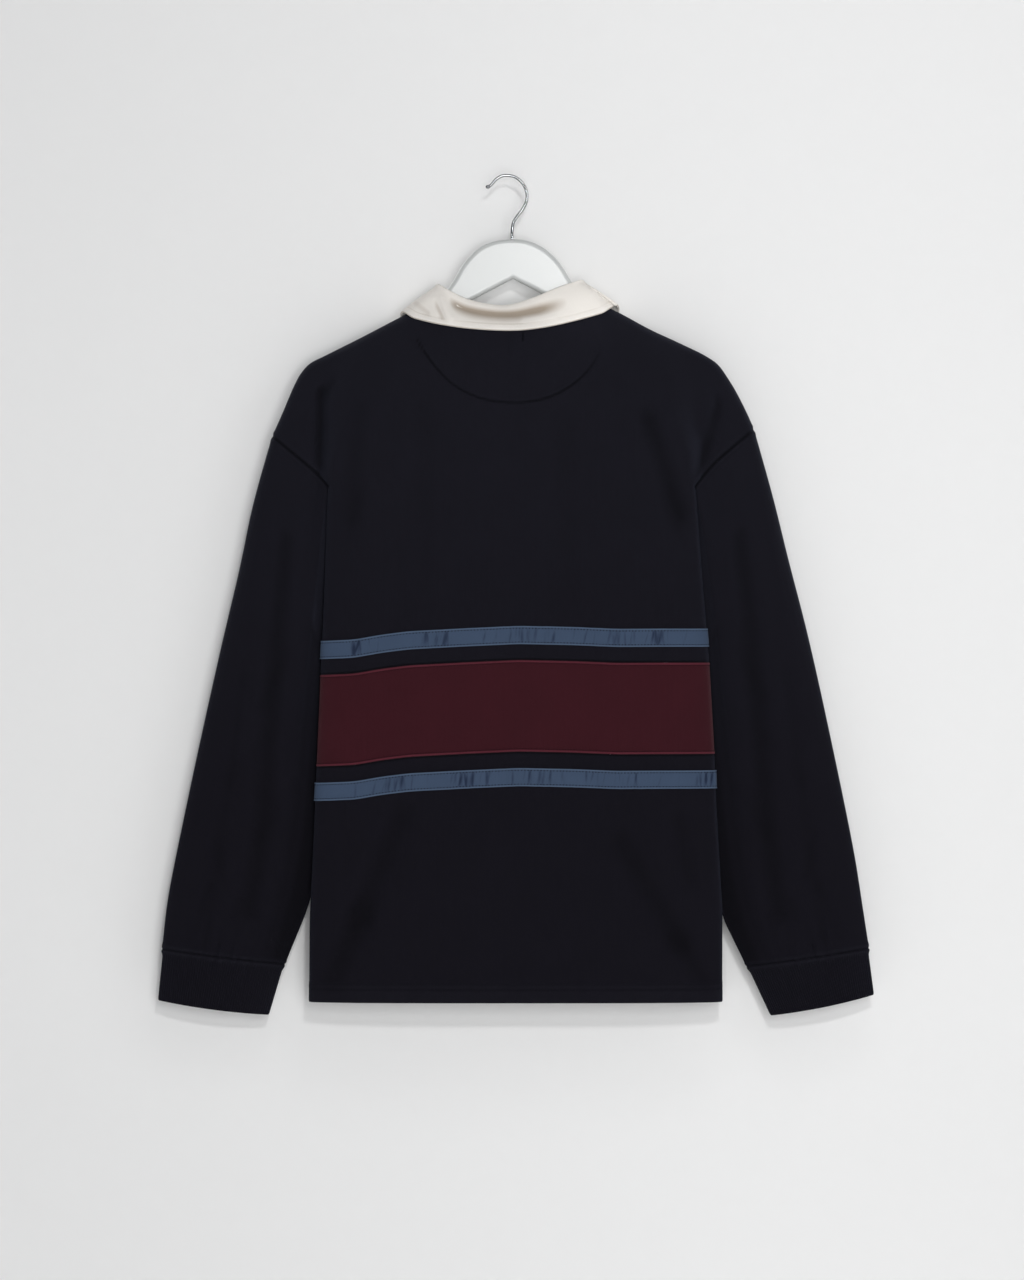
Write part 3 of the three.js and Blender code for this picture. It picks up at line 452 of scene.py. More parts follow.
def numbered(rows, columns, closed=False):
    """The number of each point of a grid. A closed one has its first column again at the end."""
    index = np.arange(rows * columns).reshape(rows, columns)
    return np.column_stack([index, index[:, :1]]) if closed else index


def grid_faces(index):
    """Faces with four corners between the neighbours in a grid."""
    return np.stack([index[:-1, :-1], index[:-1, 1:], index[1:, 1:], index[1:, :-1]], -1).reshape(-1, 4)


def make_piece(name, points, faces, finish, cloth=None, sharp=50):
    """A mesh object from points in mm and an array of faces with 3 or 4 corners."""
    mesh = bpy.data.meshes.new(name)
    mesh.vertices.add(len(points))
    mesh.vertices.foreach_set("co", (np.asarray(points) * MM).astype(np.float32).ravel())
    mesh.loops.add(faces.size)
    mesh.loops.foreach_set("vertex_index", faces.astype(np.int32).ravel())
    mesh.polygons.add(len(faces))
    mesh.polygons.foreach_set("loop_start", np.arange(0, faces.size, faces.shape[1], dtype=np.int32))
    mesh.update(calc_edges=True)
    mesh.shade_smooth()
    mesh.set_sharp_from_angle(angle=math.radians(sharp))
    if cloth is not None:
        grain = mesh.attributes.new("cloth_mm", "FLOAT_VECTOR", "POINT")
        grain.data.foreach_set("vector", np.asarray(cloth, np.float32).ravel())
    mesh.materials.append(finish)
    piece = bpy.data.objects.new(name, mesh)
    bpy.context.scene.collection.objects.link(piece)
    return piece


def volume(points, faces):
    a, b, c = (points[faces[:, i]] for i in (0, 1, 2))
    total = np.einsum("ij,ij->i", a, np.cross(b, c)).sum()
    if faces.shape[1] == 4:
        d = points[faces[:, 3]]
        total += np.einsum("ij,ij->i", a, np.cross(c, d)).sum()
    return total


def shell(name, grid, out, wall, finish, lift=0.0, relief=0.0, grain=None, closed=False, hollow_and_painted_shade=0.0):
    """relief is real height. The last argument is only painted shade: it is kept with the relief for the
    tone, which it paints darker.
    """
    rows, columns = grid.shape[:2]
    relief = np.broadcast_to(relief, (rows, columns))
    outer = grid + out * (lift + relief)[..., None]
    inner = grid + out * (lift - wall)
    points = np.concatenate([outer.reshape(-1, 3), inner.reshape(-1, 3)])
    index = numbered(rows, columns, closed)
    far = rows * columns

    def strip(edge):
        return np.stack([edge[:-1] + far, edge[1:] + far, edge[1:], edge[:-1]], -1)

    skin = grid_faces(index)
    parts = [skin, skin[:, ::-1] + far, strip(index[0]), strip(index[-1])[:, ::-1]]
    if not closed:
        parts += [strip(index[:, 0])[:, ::-1], strip(index[:, -1])]
    faces = np.concatenate(parts)
    if volume(points, faces) < 0:
        faces = faces[:, ::-1]
    if grain is None:
        grain = grid[..., [0, 2]]
    # the third number is the relief less the painted shade
    layer = np.concatenate([grain, (relief - hollow_and_painted_shade)[..., None]], -1).reshape(-1, 3)
    return make_piece(name, points, faces, finish, np.concatenate([layer, layer * [1, 1, 0]]))


def dress(piece, node):
    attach(piece, "root")
    if node:
        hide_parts(node)
    return piece


print("a shell has two faces and a strip round its edges")

# %% [markdown]
# Materials are made of nodes. What several cloths share is built once as a group with named sockets:
# knit loops, slanted twill threads, and the uneven tone that washed and handled cotton has, with painted
# shade in its grooves and folds. A group gives out heights, masks and colours only, and each material
# decides how much of them it takes.
# The loops and slanted threads are real size, from 0.8 to 1.3 mm across.

# %% Node helpers
def place(tree, kind, values=(), **settings):
    """Adds a node. values are its inputs, by name or in order: numbers or other nodes' outputs."""
    made = tree.nodes.new("ShaderNode" + kind)
    for key, value in settings.items():
        setattr(made, key, value)
    for key, value in values.items() if isinstance(values, dict) else enumerate(values):
        if isinstance(value, bpy.types.NodeSocket):
            tree.links.new(value, made.inputs[key])
        elif value is not None:
            made.inputs[key].default_value = value
    return made


def calc(tree, operation, *values):
    return place(tree, "Math", values, operation=operation).outputs[0]


def blend_colours(tree, share, first, second, way="MIX"):
    made = place(tree, "Mix", data_type="RGBA", blend_type=way)
    for socket, value in zip((made.inputs[0], made.inputs[6], made.inputs[7]), (share, first, second)):
        if isinstance(value, bpy.types.NodeSocket):
            tree.links.new(value, socket)
        else:
            socket.default_value = value
    return made.outputs[2]


def scaled_colour(tree, colour, gain):
    return place(tree, "VectorMath", {0: colour, "Scale": gain}, operation="SCALE").outputs[0]


def new_finish(name):
    """A new material, its node tree and its shader."""
    made = bpy.data.materials.new(name)
    made.use_nodes = True
    return made, made.node_tree, made.node_tree.nodes["Principled BSDF"]


def new_group(name, inputs, outputs):
    tree = bpy.data.node_groups.new(name, "ShaderNodeTree")
    for label, kind, value in inputs:
        socket = tree.interface.new_socket(name=label, in_out="INPUT", socket_type="NodeSocket" + kind)
        if value is not None:
            socket.default_value = value
    for label, kind in outputs:
        tree.interface.new_socket(name=label, in_out="OUTPUT", socket_type="NodeSocket" + kind)
    return tree, tree.nodes.new("NodeGroupInput").outputs, tree.nodes.new("NodeGroupOutput").inputs


def wave(tree, value, period):
    """A sine that repeats whenever value has grown by one period."""
    return calc(tree, "SINE", calc(tree, "MULTIPLY", calc(tree, "DIVIDE", value, period), 2 * math.pi))


def use_group(tree, group, values):
    made = tree.nodes.new("ShaderNodeGroup")
    made.node_tree = group
    for key, value in values.items():
        if isinstance(value, bpy.types.NodeSocket):
            tree.links.new(value, made.inputs[key])
        else:
            made.inputs[key].default_value = value
    return made.outputs


print("node helpers ready")

# %% [markdown]
# Jersey shows columns of small V-shaped loops. The group divides the cloth into wales and courses,
# bends each course down at the wales' edges, and rounds the wales like laid cords. Noise makes the
# loops uneven, as a knitting machine's tension does.

# %% Group of knit loops
knit, source, result = new_group(
    "Knit loops",
    [("Cloth", "Vector", None), ("Wale", "Float", 1.3), ("Course", "Float", 0.9),
     ("Uneven", "Float", 0.3)],
    [("Height", "Float"), ("Groove", "Float")],
)
grain_xyz = place(knit, "SeparateXYZ", [source["Cloth"]]).outputs
slub = place(knit, "TexNoise", {"Vector": source["Cloth"], "Scale": 0.35, "Detail": 3.0}).outputs[0]
shift = calc(knit, "MULTIPLY", calc(knit, "SUBTRACT", slub, 0.5), source["Uneven"])
wale = calc(knit, "ADD", calc(knit, "DIVIDE", grain_xyz[0], source["Wale"]), shift)
from_middle = calc(knit, "SUBTRACT", calc(knit, "FRACT", wale), 0.5)
bend = calc(knit, "MULTIPLY", calc(knit, "ABSOLUTE", from_middle), 2.0)
bent_down = calc(knit, "MULTIPLY", bend, 0.55)
course = calc(knit, "ADD", calc(knit, "DIVIDE", grain_xyz[1], source["Course"]), bent_down)
loop = calc(knit, "MULTIPLY_ADD", wave(knit, course, 1.0), 0.3, 0.7)
cord_top = calc(knit, "SUBTRACT", 1.0, calc(knit, "POWER", bend, 2.2))
knit.links.new(calc(knit, "MULTIPLY", loop, cord_top), result["Height"])
knit.links.new(calc(knit, "SUBTRACT", 1.0, cord_top), result["Groove"])
print("knit loops: 1.3 mm wales, 0.9 mm courses")

# %% [markdown]
# Twill has slanted lines of thread. In the tapes the slant turns back every few threads, which
# makes a herringbone. A ping-pong of the width gives both: a very wide one never turns back.

# %% Group of twill threads
weft_pitch = 0.45
twill, source, result = new_group(
    "Twill threads",
    [("Cloth", "Vector", None), ("Pitch", "Float", 0.9), ("Turn Width", "Float", 4.0),
     ("Slant", "Float", 1.0)],
    [("Height", "Float"), ("Turn", "Float")],
)
grain_xyz = place(twill, "SeparateXYZ", [source["Cloth"]]).outputs
folded = calc(twill, "PINGPONG", grain_xyz[0], source["Turn Width"])
slanted = calc(twill, "ADD", calc(twill, "MULTIPLY", folded, source["Slant"]), grain_xyz[1])
warp_threads = calc(twill, "MULTIPLY_ADD", wave(twill, slanted, source["Pitch"]), 0.38, 0.5)
weft_threads = calc(twill, "MULTIPLY", wave(twill, grain_xyz[0], weft_pitch), 0.12)
twill.links.new(calc(twill, "ADD", warp_threads, weft_threads), result["Height"])
turn_share = calc(twill, "DIVIDE", folded, source["Turn Width"])
twill.links.new(turn_share, result["Turn"])
print("twill threads: slanted lines that can turn back")

# %% [markdown]
# Dyed cotton is never one flat colour. This group clouds the tone softly over a few centimetres,
# adds a grain of single paler fibres, lightens what stands proud, such as a stitched edge that rubs,
# and paints grooves and hollows darker, as painted shade. It reads the third number of each point: the
# relief, less the painted shade given to that place.

# %% Group of cotton tone and painted shade
tone, source, result = new_group(
    "Cotton tone and painted shade",
    [("Cloth", "Vector", None), ("Color", "Color", (0.5, 0.5, 0.5, 1)),
     ("Rubbed Color", "Color", (1, 1, 1, 1)), ("Painted Shade Color", "Color", (0.4, 0.4, 0.4, 1)),
     ("Cloud", "Float", 0.2), ("Fibre", "Float", 0.2), ("Rub", "Float", 0.3), ("Roughness", "Float", 0.9)],
    [("Color", "Color"), ("Roughness", "Float"), ("Fuzz", "Float")],
)
relief_mm = place(tone, "SeparateXYZ", [source["Cloth"]]).outputs[2]
clouds = place(tone, "TexNoise", {"Vector": source["Cloth"], "Scale": 0.022, "Detail": 4.0}).outputs[0]
fibres = place(tone, "TexNoise", {"Vector": source["Cloth"], "Scale": 1.1, "Detail": 5.0,
                                  "Roughness": 0.7}).outputs[0]
specks = place(tone, "MapRange", {"Value": fibres, "From Min": 0.58, "From Max": 0.8}).outputs[0]
cloud_swing = calc(tone, "MULTIPLY", calc(tone, "SUBTRACT", clouds, 0.5), source["Cloud"])
grain_swing = calc(tone, "MULTIPLY", calc(tone, "SUBTRACT", fibres, 0.5), source["Fibre"])
# painted shade: the lower the relief less its shade, the more the colour is multiplied by the painted shade
# colour
painted_shade_share = place(tone, "MapRange", {"Value": relief_mm, "From Min": -0.08, "From Max": -0.5}).outputs[0]
gain = calc(tone, "ADD", calc(tone, "ADD", cloud_swing, grain_swing), 1.0)
clouded = scaled_colour(tone, source["Color"], gain)
painted_shade_colour = blend_colours(tone, painted_shade_share, (1, 1, 1, 1), source["Painted Shade Color"])
scaled = blend_colours(tone, 1.0, clouded, painted_shade_colour, "MULTIPLY")
rubbed = place(tone, "MapRange", {"Value": relief_mm, "From Min": 0.1, "From Max": 0.6}).outputs[0]
rub_share = calc(tone, "MULTIPLY", rubbed, source["Rub"])
speck_share = calc(tone, "MULTIPLY", specks, calc(tone, "MULTIPLY", source["Fibre"], 0.35))
lighter = calc(tone, "MINIMUM", calc(tone, "ADD", rub_share, speck_share), 1.0)
tone.links.new(blend_colours(tone, lighter, scaled, source["Rubbed Color"]), result["Color"])
dull_swing = calc(tone, "MULTIPLY", cloud_swing, 0.2)
tone.links.new(calc(tone, "ADD", source["Roughness"], dull_swing), result["Roughness"])
tone.links.new(fibres, result["Fuzz"])
print("cotton tone: clouds, fibres and rubbed edges")

# %% [markdown]
# Each cloth is one function call. Sheen is the soft light on the nap of brushed cotton, and it is a
# plain number on the shader, because it is the same all over. The weave's height goes to a bump of
# true depth. Navy here is nearly black, and it is painted lighter and bluer towards the shoulders, as
# painted light where more light falls on them.

# %% Cloth materials
def cloth_finish(name, colour, rubbed, weave, depth, sheen, cloud=0.22, fibre=0.5, rub=0.35, roughness=0.9,
                 hollow_and_painted_shade=(0.36, 0.36, 0.38), painted_top_light=None):
    """weave is (group, its values). The last two are colours: the painted shade for folds and grooves, and
    the lighter colour painted high on the piece as painted light.
    """
    made, tree, shader = new_finish(name)
    cloth = place(tree, "Attribute", attribute_name="cloth_mm").outputs["Vector"]
    base = (*colour, 1)
    # painted light: the colour is painted lighter and bluer towards the top
    if painted_top_light:
        up_cloth = place(tree, "SeparateXYZ", [cloth]).outputs[1]
        low_z, high_z = painted_top_light_between
        high = place(tree, "MapRange", {"Value": up_cloth, "From Min": low_z, "From Max": high_z}).outputs[0]
        base = blend_colours(tree, high, base, (*painted_top_light, 1))
    group, values = weave
    threads = use_group(tree, group, {"Cloth": cloth, **values})
    toned = use_group(tree, tone, {
        "Cloth": cloth, "Color": base, "Rubbed Color": (*rubbed, 1),
        "Painted Shade Color": (*hollow_and_painted_shade, 1), "Cloud": cloud, "Fibre": fibre, "Rub": rub, "Roughness": roughness,
    })
    shade = calc(tree, "MULTIPLY_ADD", threads["Height"], 0.3, 0.78)
    tree.links.new(scaled_colour(tree, toned["Color"], shade), shader.inputs["Base Color"])
    tree.links.new(toned["Roughness"], shader.inputs["Roughness"])
    raised = calc(tree, "MULTIPLY_ADD", toned["Fuzz"], 0.6, threads["Height"])
    bump = place(tree, "Bump", {"Height": raised, "Distance": depth * MM, "Strength": 1.0}).outputs[0]
    tree.links.new(bump, shader.inputs["Normal"])
    shader.inputs["Specular IOR Level"].default_value = 0.1
    shader.inputs["Sheen Weight"].default_value = sheen[0]
    shader.inputs["Sheen Roughness"].default_value = sheen[1]
    shader.inputs["Sheen Tint"].default_value = (*sheen[2], 1)
    return made


navy_tint, wine_tint = (0.6, 0.66, 1.0), (1.0, 0.6, 0.66)
slate_tint, cream_tint = (0.6, 0.75, 1.0), (1, 0.96, 0.9)
jersey_weave = (knit, {"Wale": 1.25, "Course": 0.9, "Uneven": 0.35})
rib_weave = (knit, {"Wale": 1.2, "Course": 0.8, "Uneven": 0.2})
tape_weave = (twill, {"Pitch": 1.25, "Turn Width": 3.1, "Slant": 1.0})
twill_weave = (twill, {"Pitch": 0.95, "Turn Width": 9000.0, "Slant": 0.8})
deep_navy, rubbed_navy = (0.0055, 0.0049, 0.0085), (0.013, 0.013, 0.019)
# the lighter navy painted towards the top, as painted light
painted_top_light_navy = (0.0082, 0.0080, 0.0127)
navy = cloth_finish("navy_jersey", deep_navy, rubbed_navy, jersey_weave, 0.22, (0.05, 0.45, navy_tint),
                    painted_top_light=painted_top_light_navy)
navy_rib = cloth_finish("navy_rib", deep_navy, rubbed_navy, rib_weave, 0.25, (0.05, 0.45, navy_tint))
wine = cloth_finish("burgundy_jersey", (0.040, 0.0070, 0.0115), (0.125, 0.026, 0.040), jersey_weave, 0.22,
                    (0.10, 0.45, wine_tint), rub=0.9)
# slate and cream get their own colour of painted shade; the cream's is warm, as in its shaded folds
slate = cloth_finish("slate_tape", (0.053, 0.080, 0.134), (0.12, 0.17, 0.25), tape_weave, 0.25,
                     (0.08, 0.4, slate_tint), fibre=0.35, rub=0.9, hollow_and_painted_shade=(0.34, 0.34, 0.42))
cream = cloth_finish("cream_twill", (0.91, 0.87, 0.815), (0.95, 0.925, 0.885), twill_weave, 0.18,
                     (0.12, 0.5, cream_tint), cloud=0.06, fibre=0.12, rub=0.3, hollow_and_painted_shade=(0.50, 0.44, 0.38))
print("cloth materials:", navy.name, navy_rib.name, wine.name, slate.name, cream.name)

# %% [markdown]
# Thread, lacquer, chrome and button are simpler. Thread is twisted, so a fine slanted bump crosses
# it. The hanger is a sprayed lacquer with a faint orange-peel and dust in its tone, the wire is
# bright metal with fine drawn lines, and the buttons are pale and polished with soft cloudy layers.

# %% Hard and small materials
def plain_finish(name, colour, roughness, spread, scale, depth, stretch=(1, 1, 1), swing=0.08, **sockets):
    made, tree, shader = new_finish(name)
    where = place(tree, "TexCoord").outputs["Object"]
    pulled = place(tree, "VectorMath", [where, stretch], operation="MULTIPLY").outputs[0]
    fine = place(tree, "TexNoise", {"Vector": pulled, "Scale": scale, "Detail": 4.0}).outputs[0]
    broad = place(tree, "TexNoise", {"Vector": where, "Scale": 18.0, "Detail": 2.0}).outputs[0]
    gain = calc(tree, "MULTIPLY_ADD", broad, swing, 1 - swing / 2)
    tree.links.new(scaled_colour(tree, colour, gain), shader.inputs["Base Color"])
    dull = calc(tree, "MULTIPLY_ADD", fine, spread, roughness - spread / 2)
    tree.links.new(dull, shader.inputs["Roughness"])
    bump = place(tree, "Bump", {"Height": fine, "Distance": depth * MM, "Strength": 1.0}).outputs[0]
    tree.links.new(bump, shader.inputs["Normal"])
    for key, value in sockets.items():
        shader.inputs[key.replace("_", " ")].default_value = value
    return made


def dark_thread(name, colour):
    return plain_finish(name, colour, 0.8, 0.2, 2200, 0.05, swing=0.3, Specular_IOR_Level=0.1)


navy_thread = dark_thread("navy_thread", (0.0045, 0.0047, 0.0078))
wine_thread = dark_thread("burgundy_thread", (0.020, 0.004, 0.007))
slate_thread = dark_thread("slate_thread", (0.007, 0.010, 0.018))
cream_thread = plain_finish("cream_thread", (0.80, 0.76, 0.70), 0.7, 0.2, 2200, 0.05, swing=0.1)
lacquer = plain_finish("white_lacquer", (0.535, 0.55, 0.543), 0.34, 0.08, 900, 0.02, swing=0.03,
                       Coat_Weight=0.3, Coat_Roughness=0.2)
chrome = plain_finish("chromed_wire", (0.27, 0.28, 0.29), 0.14, 0.08, 500, 0.01, (1, 1, 8), 0.05,
                      Metallic=1.0)
shell_white = plain_finish("button_shell", (0.80, 0.77, 0.70), 0.26, 0.1, 300, 0.01, (1, 1, 3), 0.14,
                           Coat_Weight=0.4, Coat_Roughness=0.1)
print("threads, lacquer, chrome and button are made")

# %% [markdown]
# The camera stands square to the back, level with the middle of the frame. The shirt fills a frame
# 1318 mm high, so at four metres the lens is about 109 mm long, which keeps the lines straight. It
# looks slightly right of the hook, because the shirt hangs a little to one side.

# %% Camera
frame_height, camera_distance, cloth_plane = 1318.0, 4000.0, -4.0
view_x, view_z, film_height = 6.2, -477.4, 36
camera_data = bpy.data.cameras.new("camera")
camera_data.sensor_fit = "VERTICAL"
camera_data.sensor_height = film_height
camera_data.lens = film_height * (camera_distance + cloth_plane) / frame_height
camera_data.clip_end = 50
camera = bpy.data.objects.new("camera", camera_data)
camera.location = (view_x * MM, -camera_distance * MM, view_z * MM)
camera.rotation_euler = (math.pi / 2, 0, 0)
bpy.context.scene.collection.objects.link(camera)
bpy.context.scene.camera = camera
print("lens", round(camera_data.lens, 1), "mm")

# %% [markdown]
# Where seams run, cloth is drawn in and its edges roll. Small helpers give the relief for a groove
# along any line, for the raised and stitched edge of a band, and for the roll at the armhole. The
# same distances place the threads later, so thread and groove stay together.

# %% Relief helpers
def line_distance(x, z, line):
    """Distance of each place from a line of points in the hanging plane."""
    points = line[0][::3]
    starts, runs = points[:-1], np.diff(points, axis=0)
    best = np.full(np.shape(x), 1e9)
    for (start_x, start_z), (run_x, run_z) in zip(starts, runs):
        t = ((x - start_x) * run_x + (z - start_z) * run_z) / (run_x**2 + run_z**2)
        t = np.clip(t, 0, 1)
        best = np.minimum(best, np.hypot(x - start_x - t * run_x, z - start_z - t * run_z))
    return best


def stitched_edge(distance, raised=0.5):
    """A turned edge: proud at its rim, with a groove where the stitches pull it down."""
    stitches = 0.4 * hump(distance, stitch_inset, 0.8)
    return raised * hump(distance, 1.2, 2.2) - stitches - 0.5 * hump(distance, 0, 0.5)


stitch_inset = 3.2
hem_stitches = (13.5, 19.5)
half_moon = round_line([(-90.5, -170.5), (-89.6, -172.5), (-81.4, -185.4), (-71.4, -198.9), (-54.1, -216.2),
                        (-33.0, -227.7), (-13.7, -233.3), (11.3, -235.1), (33.7, -232.3), (52.5, -225.8),
                        (72.1, -213.3), (87.6, -196.9), (97, -181)])
moon_steps = np.linalg.norm(np.diff(half_moon[0], axis=0), axis=1)
print("the half-moon is", round(float(moon_steps.sum())), "mm long")

# %% [markdown]
# The back is cut as an upper panel, a burgundy band and a lower panel, and the front is the same.
# The upper back carries a stitched half-moon under the collar, where a facing is sewn on inside. Its
# groove is in the shell itself, so it shows in the mesh too. Rows are close together near seams and
# round the shoulder, where the cloth bends most.

# %% Body panels
def yoke_shares(coarse):
    shares = [0.0]
    while shares[-1] < 1:
        shares.append(shares[-1] + mix(0.0012, coarse, min(shares[-1] / 0.09, 1)))
    return np.array(shares) / shares[-1]


def body_columns(per_column):
    count = side_columns * per_column
    return np.arange(-count, count + 1) / count


def panel_grid(face, runs, columns):
    """Points of a panel and the way out of each, which turns sideways along its seams."""
    grid = np.array([body_row(face, run, columns) for run in runs])
    out = outward(grid, -face)
    for i, run in enumerate(runs):
        if run == 0:
            seam = np.abs(columns) * side_columns >= neck_columns
            out_x, out_z = ridge_distance(grid[i, :, 0], grid[i, :, 2])[1:3]
            out[i, seam] = np.stack([out_x, 0 * out_x, out_z], -1)[seam]
        if run >= 1:
            out[i, 0], out[i, -1] = (LEFT, 0, 0), (RIGHT, 0, 0)
    return grid, out


def body_grain(grid, columns):
    """Place on the flat cloth: straight across the middle, and on round the side folds."""
    turned = np.sign(columns) * np.maximum(fold_half + 14 - np.abs(grid[..., 1]), 0)
    return np.stack([grid[..., 0] + turned, grid[..., 2]], -1)


def upper_relief(face, grid, runs):
    x, z = grid[..., 0], grid[..., 2]
    levels = level_at(np.asarray(runs))[:, None]
    relief = -0.55 * hump(levels, band[0] + 1.0, 1.1) * (levels < -480)
    for side in (LEFT, RIGHT):
        seam = line_distance(x, z, armholes[side])
        on_yoke = np.asarray(runs)[:, None] <= 0.5
        relief = relief - on_yoke * (0.9 * hump(seam, 0, 1.6) - 0.35 * hump(seam, 4.2, 1.8))
    if face == BACK:
        near = line_distance(x, z, half_moon)
        shown = 1 - 0.6 * smooth(x, 70, 108)
        relief = relief - 0.6 * shown * hump(near, 0, 1.5) + 0.22 * shown * hump(near, 3.4, 1.8)
    return relief


# name, columns to a share of the border, and the widest row spacing: in the yoke's share, and in mm
panel_plan = {BACK: ("back", 9, 0.0135, 3.2), FRONT: ("front", 5, 0.022, 4.5)}
panels, surfaces = {}, {}
for face, (word, per_column, yoke_step, coarse) in panel_plan.items():
    columns = body_columns(per_column)
    armhole_levels = np.linspace(0.5, 1, 1 + round((drop_z - underarm_z) / coarse))[1:]
    last = run_at(graded(underarm_z - 2, band[0] + half_join, 0.7, coarse, 9))
    runs = np.concatenate([yoke_shares(yoke_step) / 2, armhole_levels, last])
    grid, out = panel_grid(face, runs, columns)
    relief = upper_relief(face, grid, runs)
    name = f"{word}_upper"
    # painted shade: each panel is painted darker in its folds and creases
    panels[name] = shell(f"{name}_cloth", grid, out, cloth_wall, navy, relief=relief,
                         grain=body_grain(grid, columns), hollow_and_painted_shade=painted_fold_shade(face, runs, grid))
    surfaces[name] = grid + out * relief[..., None]
    dress(panels[name], name)

    levels = graded(band[0] - half_join, band[1] + half_join, 0.5, coarse, 11)
    grid, out = panel_grid(face, run_at(levels), columns)
    rim = np.minimum(band[0] - levels, levels - band[1])[:, None]
    name = f"{word}_band"
    panels[name] = shell(f"{name}_cloth", grid, out, cloth_wall, wine, relief=stitched_edge(rim),
                         grain=body_grain(grid, columns), hollow_and_painted_shade=painted_fold_shade(face, run_at(levels), grid))
    dress(panels[name], name)

    levels = np.concatenate([graded(band[1] - half_join, hem_z + 26, 0.7, coarse, 9),
                             np.linspace(hem_z + 26, hem_z, 33)[1:]])
    grid, out = panel_grid(face, run_at(levels), columns)
    rise = (levels - hem_z)[:, None]
    hem = 0.35 * (1 - smooth(rise, 20.5, 22)) - 0.5 * hump(rise, 0, 0.8)
    for stitch_rise in hem_stitches:
        hem = hem - 0.4 * hump(rise, stitch_rise, 0.9)
    top_seam = -0.55 * hump((band[1] - levels)[:, None], 0.8, 1.1)
    name = f"{word}_lower"
    panels[name] = shell(f"{name}_cloth", grid, out, cloth_wall, navy, relief=hem + top_seam,
                         grain=body_grain(grid, columns), hollow_and_painted_shade=painted_fold_shade(face, run_at(levels), grid))
    dress(panels[name], name)
    for part in ("upper", "band", "lower"):
        print(word, part, "polygons", len(panels[f"{word}_{part}"].data.polygons))

# %% [markdown]
# The slate tapes are woven strips, 18.5 mm wide, topstitched over the jersey along both edges. The
# thread draws them in, so they pucker. Each tape is made from the panel's own rows, moved out by its
# thickness, and its puckers are the panel's, because the two are sewn together.

# %% Tapes
def tape_valleys(x, level, face, which):
    """Narrow valleys across a tape, where the thread has drawn the cloth together."""
    depth = 0
    for place_x, width in [*pucker_spots[which], (0, 150), (0, 150), (0, 150)]:
        for spot in chance.normal(place_x, width * 0.75, 13):
            half_width, deep = chance.uniform(0.7, 1.8), chance.uniform(0.02, 0.17)
            lean, middle, reach = chance.normal(-0.1, 0.1), chance.uniform(-4, 4), chance.uniform(7, 15)
            across = hump(x * -face + lean * level, spot, half_width)
            depth = depth + deep * across * hump(level, middle, reach)
    return depth


for face, (word, per_column, yoke_step, coarse) in panel_plan.items():
    columns = body_columns(2 * per_column)
    for which, (top, bottom) in tapes.items():
        levels = graded(top, bottom, 0.55, 1.8, 5)
        grid, out = panel_grid(face, run_at(levels), columns)
        rim = np.minimum(top - levels, levels - bottom)[:, None]
        inside = smooth(rim, 1.0, 3.6)
        relief = 0.12 + 0.2 * hump(rim, 0.4, 1.0) - 0.3 * hump(rim, 2.2, 0.6)
        level = (levels - (top + bottom) / 2)[:, None]
        valleys = inside * tape_valleys(grid[..., 0], level, face, which)
        relief = relief - valleys
        name = f"{word}_tape_{which}"
        across_tape = (levels - bottom)[:, None] + 0 * grid[..., 0]
        grain = np.stack([across_tape, body_grain(grid, columns)[..., 0]], -1)
        # painted shade: the puckers' valleys are painted darker, and the tape's middle a little less light
        # than its rims
        panels[name] = shell(f"{name}_cloth", grid, out, tape_wall, slate, lift=seam_gap + tape_wall,
                             relief=relief, grain=grain, hollow_and_painted_shade=valleys + mix(-0.04, 0.1, inside))
        dress(panels[name], name)
print("tapes:", [name for name in panels if "tape" in name])

# %% [markdown]
# A sleeve is a tube, laid flat by its own weight, from the dropped shoulder to the cuff. Its rings
# start on the body's armhole and end at the cuff seam, and its folds run down it: one broad soft
# trough, and short ones at the elbow and above the cuff, where the cloth is gathered in.

# %% Measures of the sleeves
sleeve_outer = {
    LEFT: [(-241.0, -267.3), (-254.4, -314.3), (-262.7, -346.6), (-273.8, -400.2), (-294.0, -486.7),
           (-312.4, -569.1), (-333.7, -669.0), (-348.6, -745.2), (-354.6, -796.0)],
    RIGHT: [(255.7, -260.4), (264.4, -291.0), (276.0, -333.2), (291.3, -395.0), (311.5, -474.0),
            (337.4, -591.1), (359.3, -699.5), (367.6, -752.1), (374.2, -795.0)],
}
sleeve_inner = {
    LEFT: [(-174.6, -500.0), (-177.4, -539.0), (-185.4, -642.0), (-191.9, -704.0), (-204.4, -753.4),
           (-216.2, -783.3), (-227.8, -811.6)],
    RIGHT: [(193.9, -500.0), (196.6, -539.0), (204.6, -642.0), (211.4, -704.0), (223.8, -763.0),
            (234.4, -786.4), (247.8, -813.8)],
}
cuff_ends = {
    LEFT: ((-358.4, -848.6), (-244.6, -863.6), -1.2),
    RIGHT: ((379.0, -843.0), (273.0, -864.4), -1.2),
}
sleeve_halves = ([0, 0.3, 0.7, 0.92, 1], [22, 21, 19, 17, 14.5])
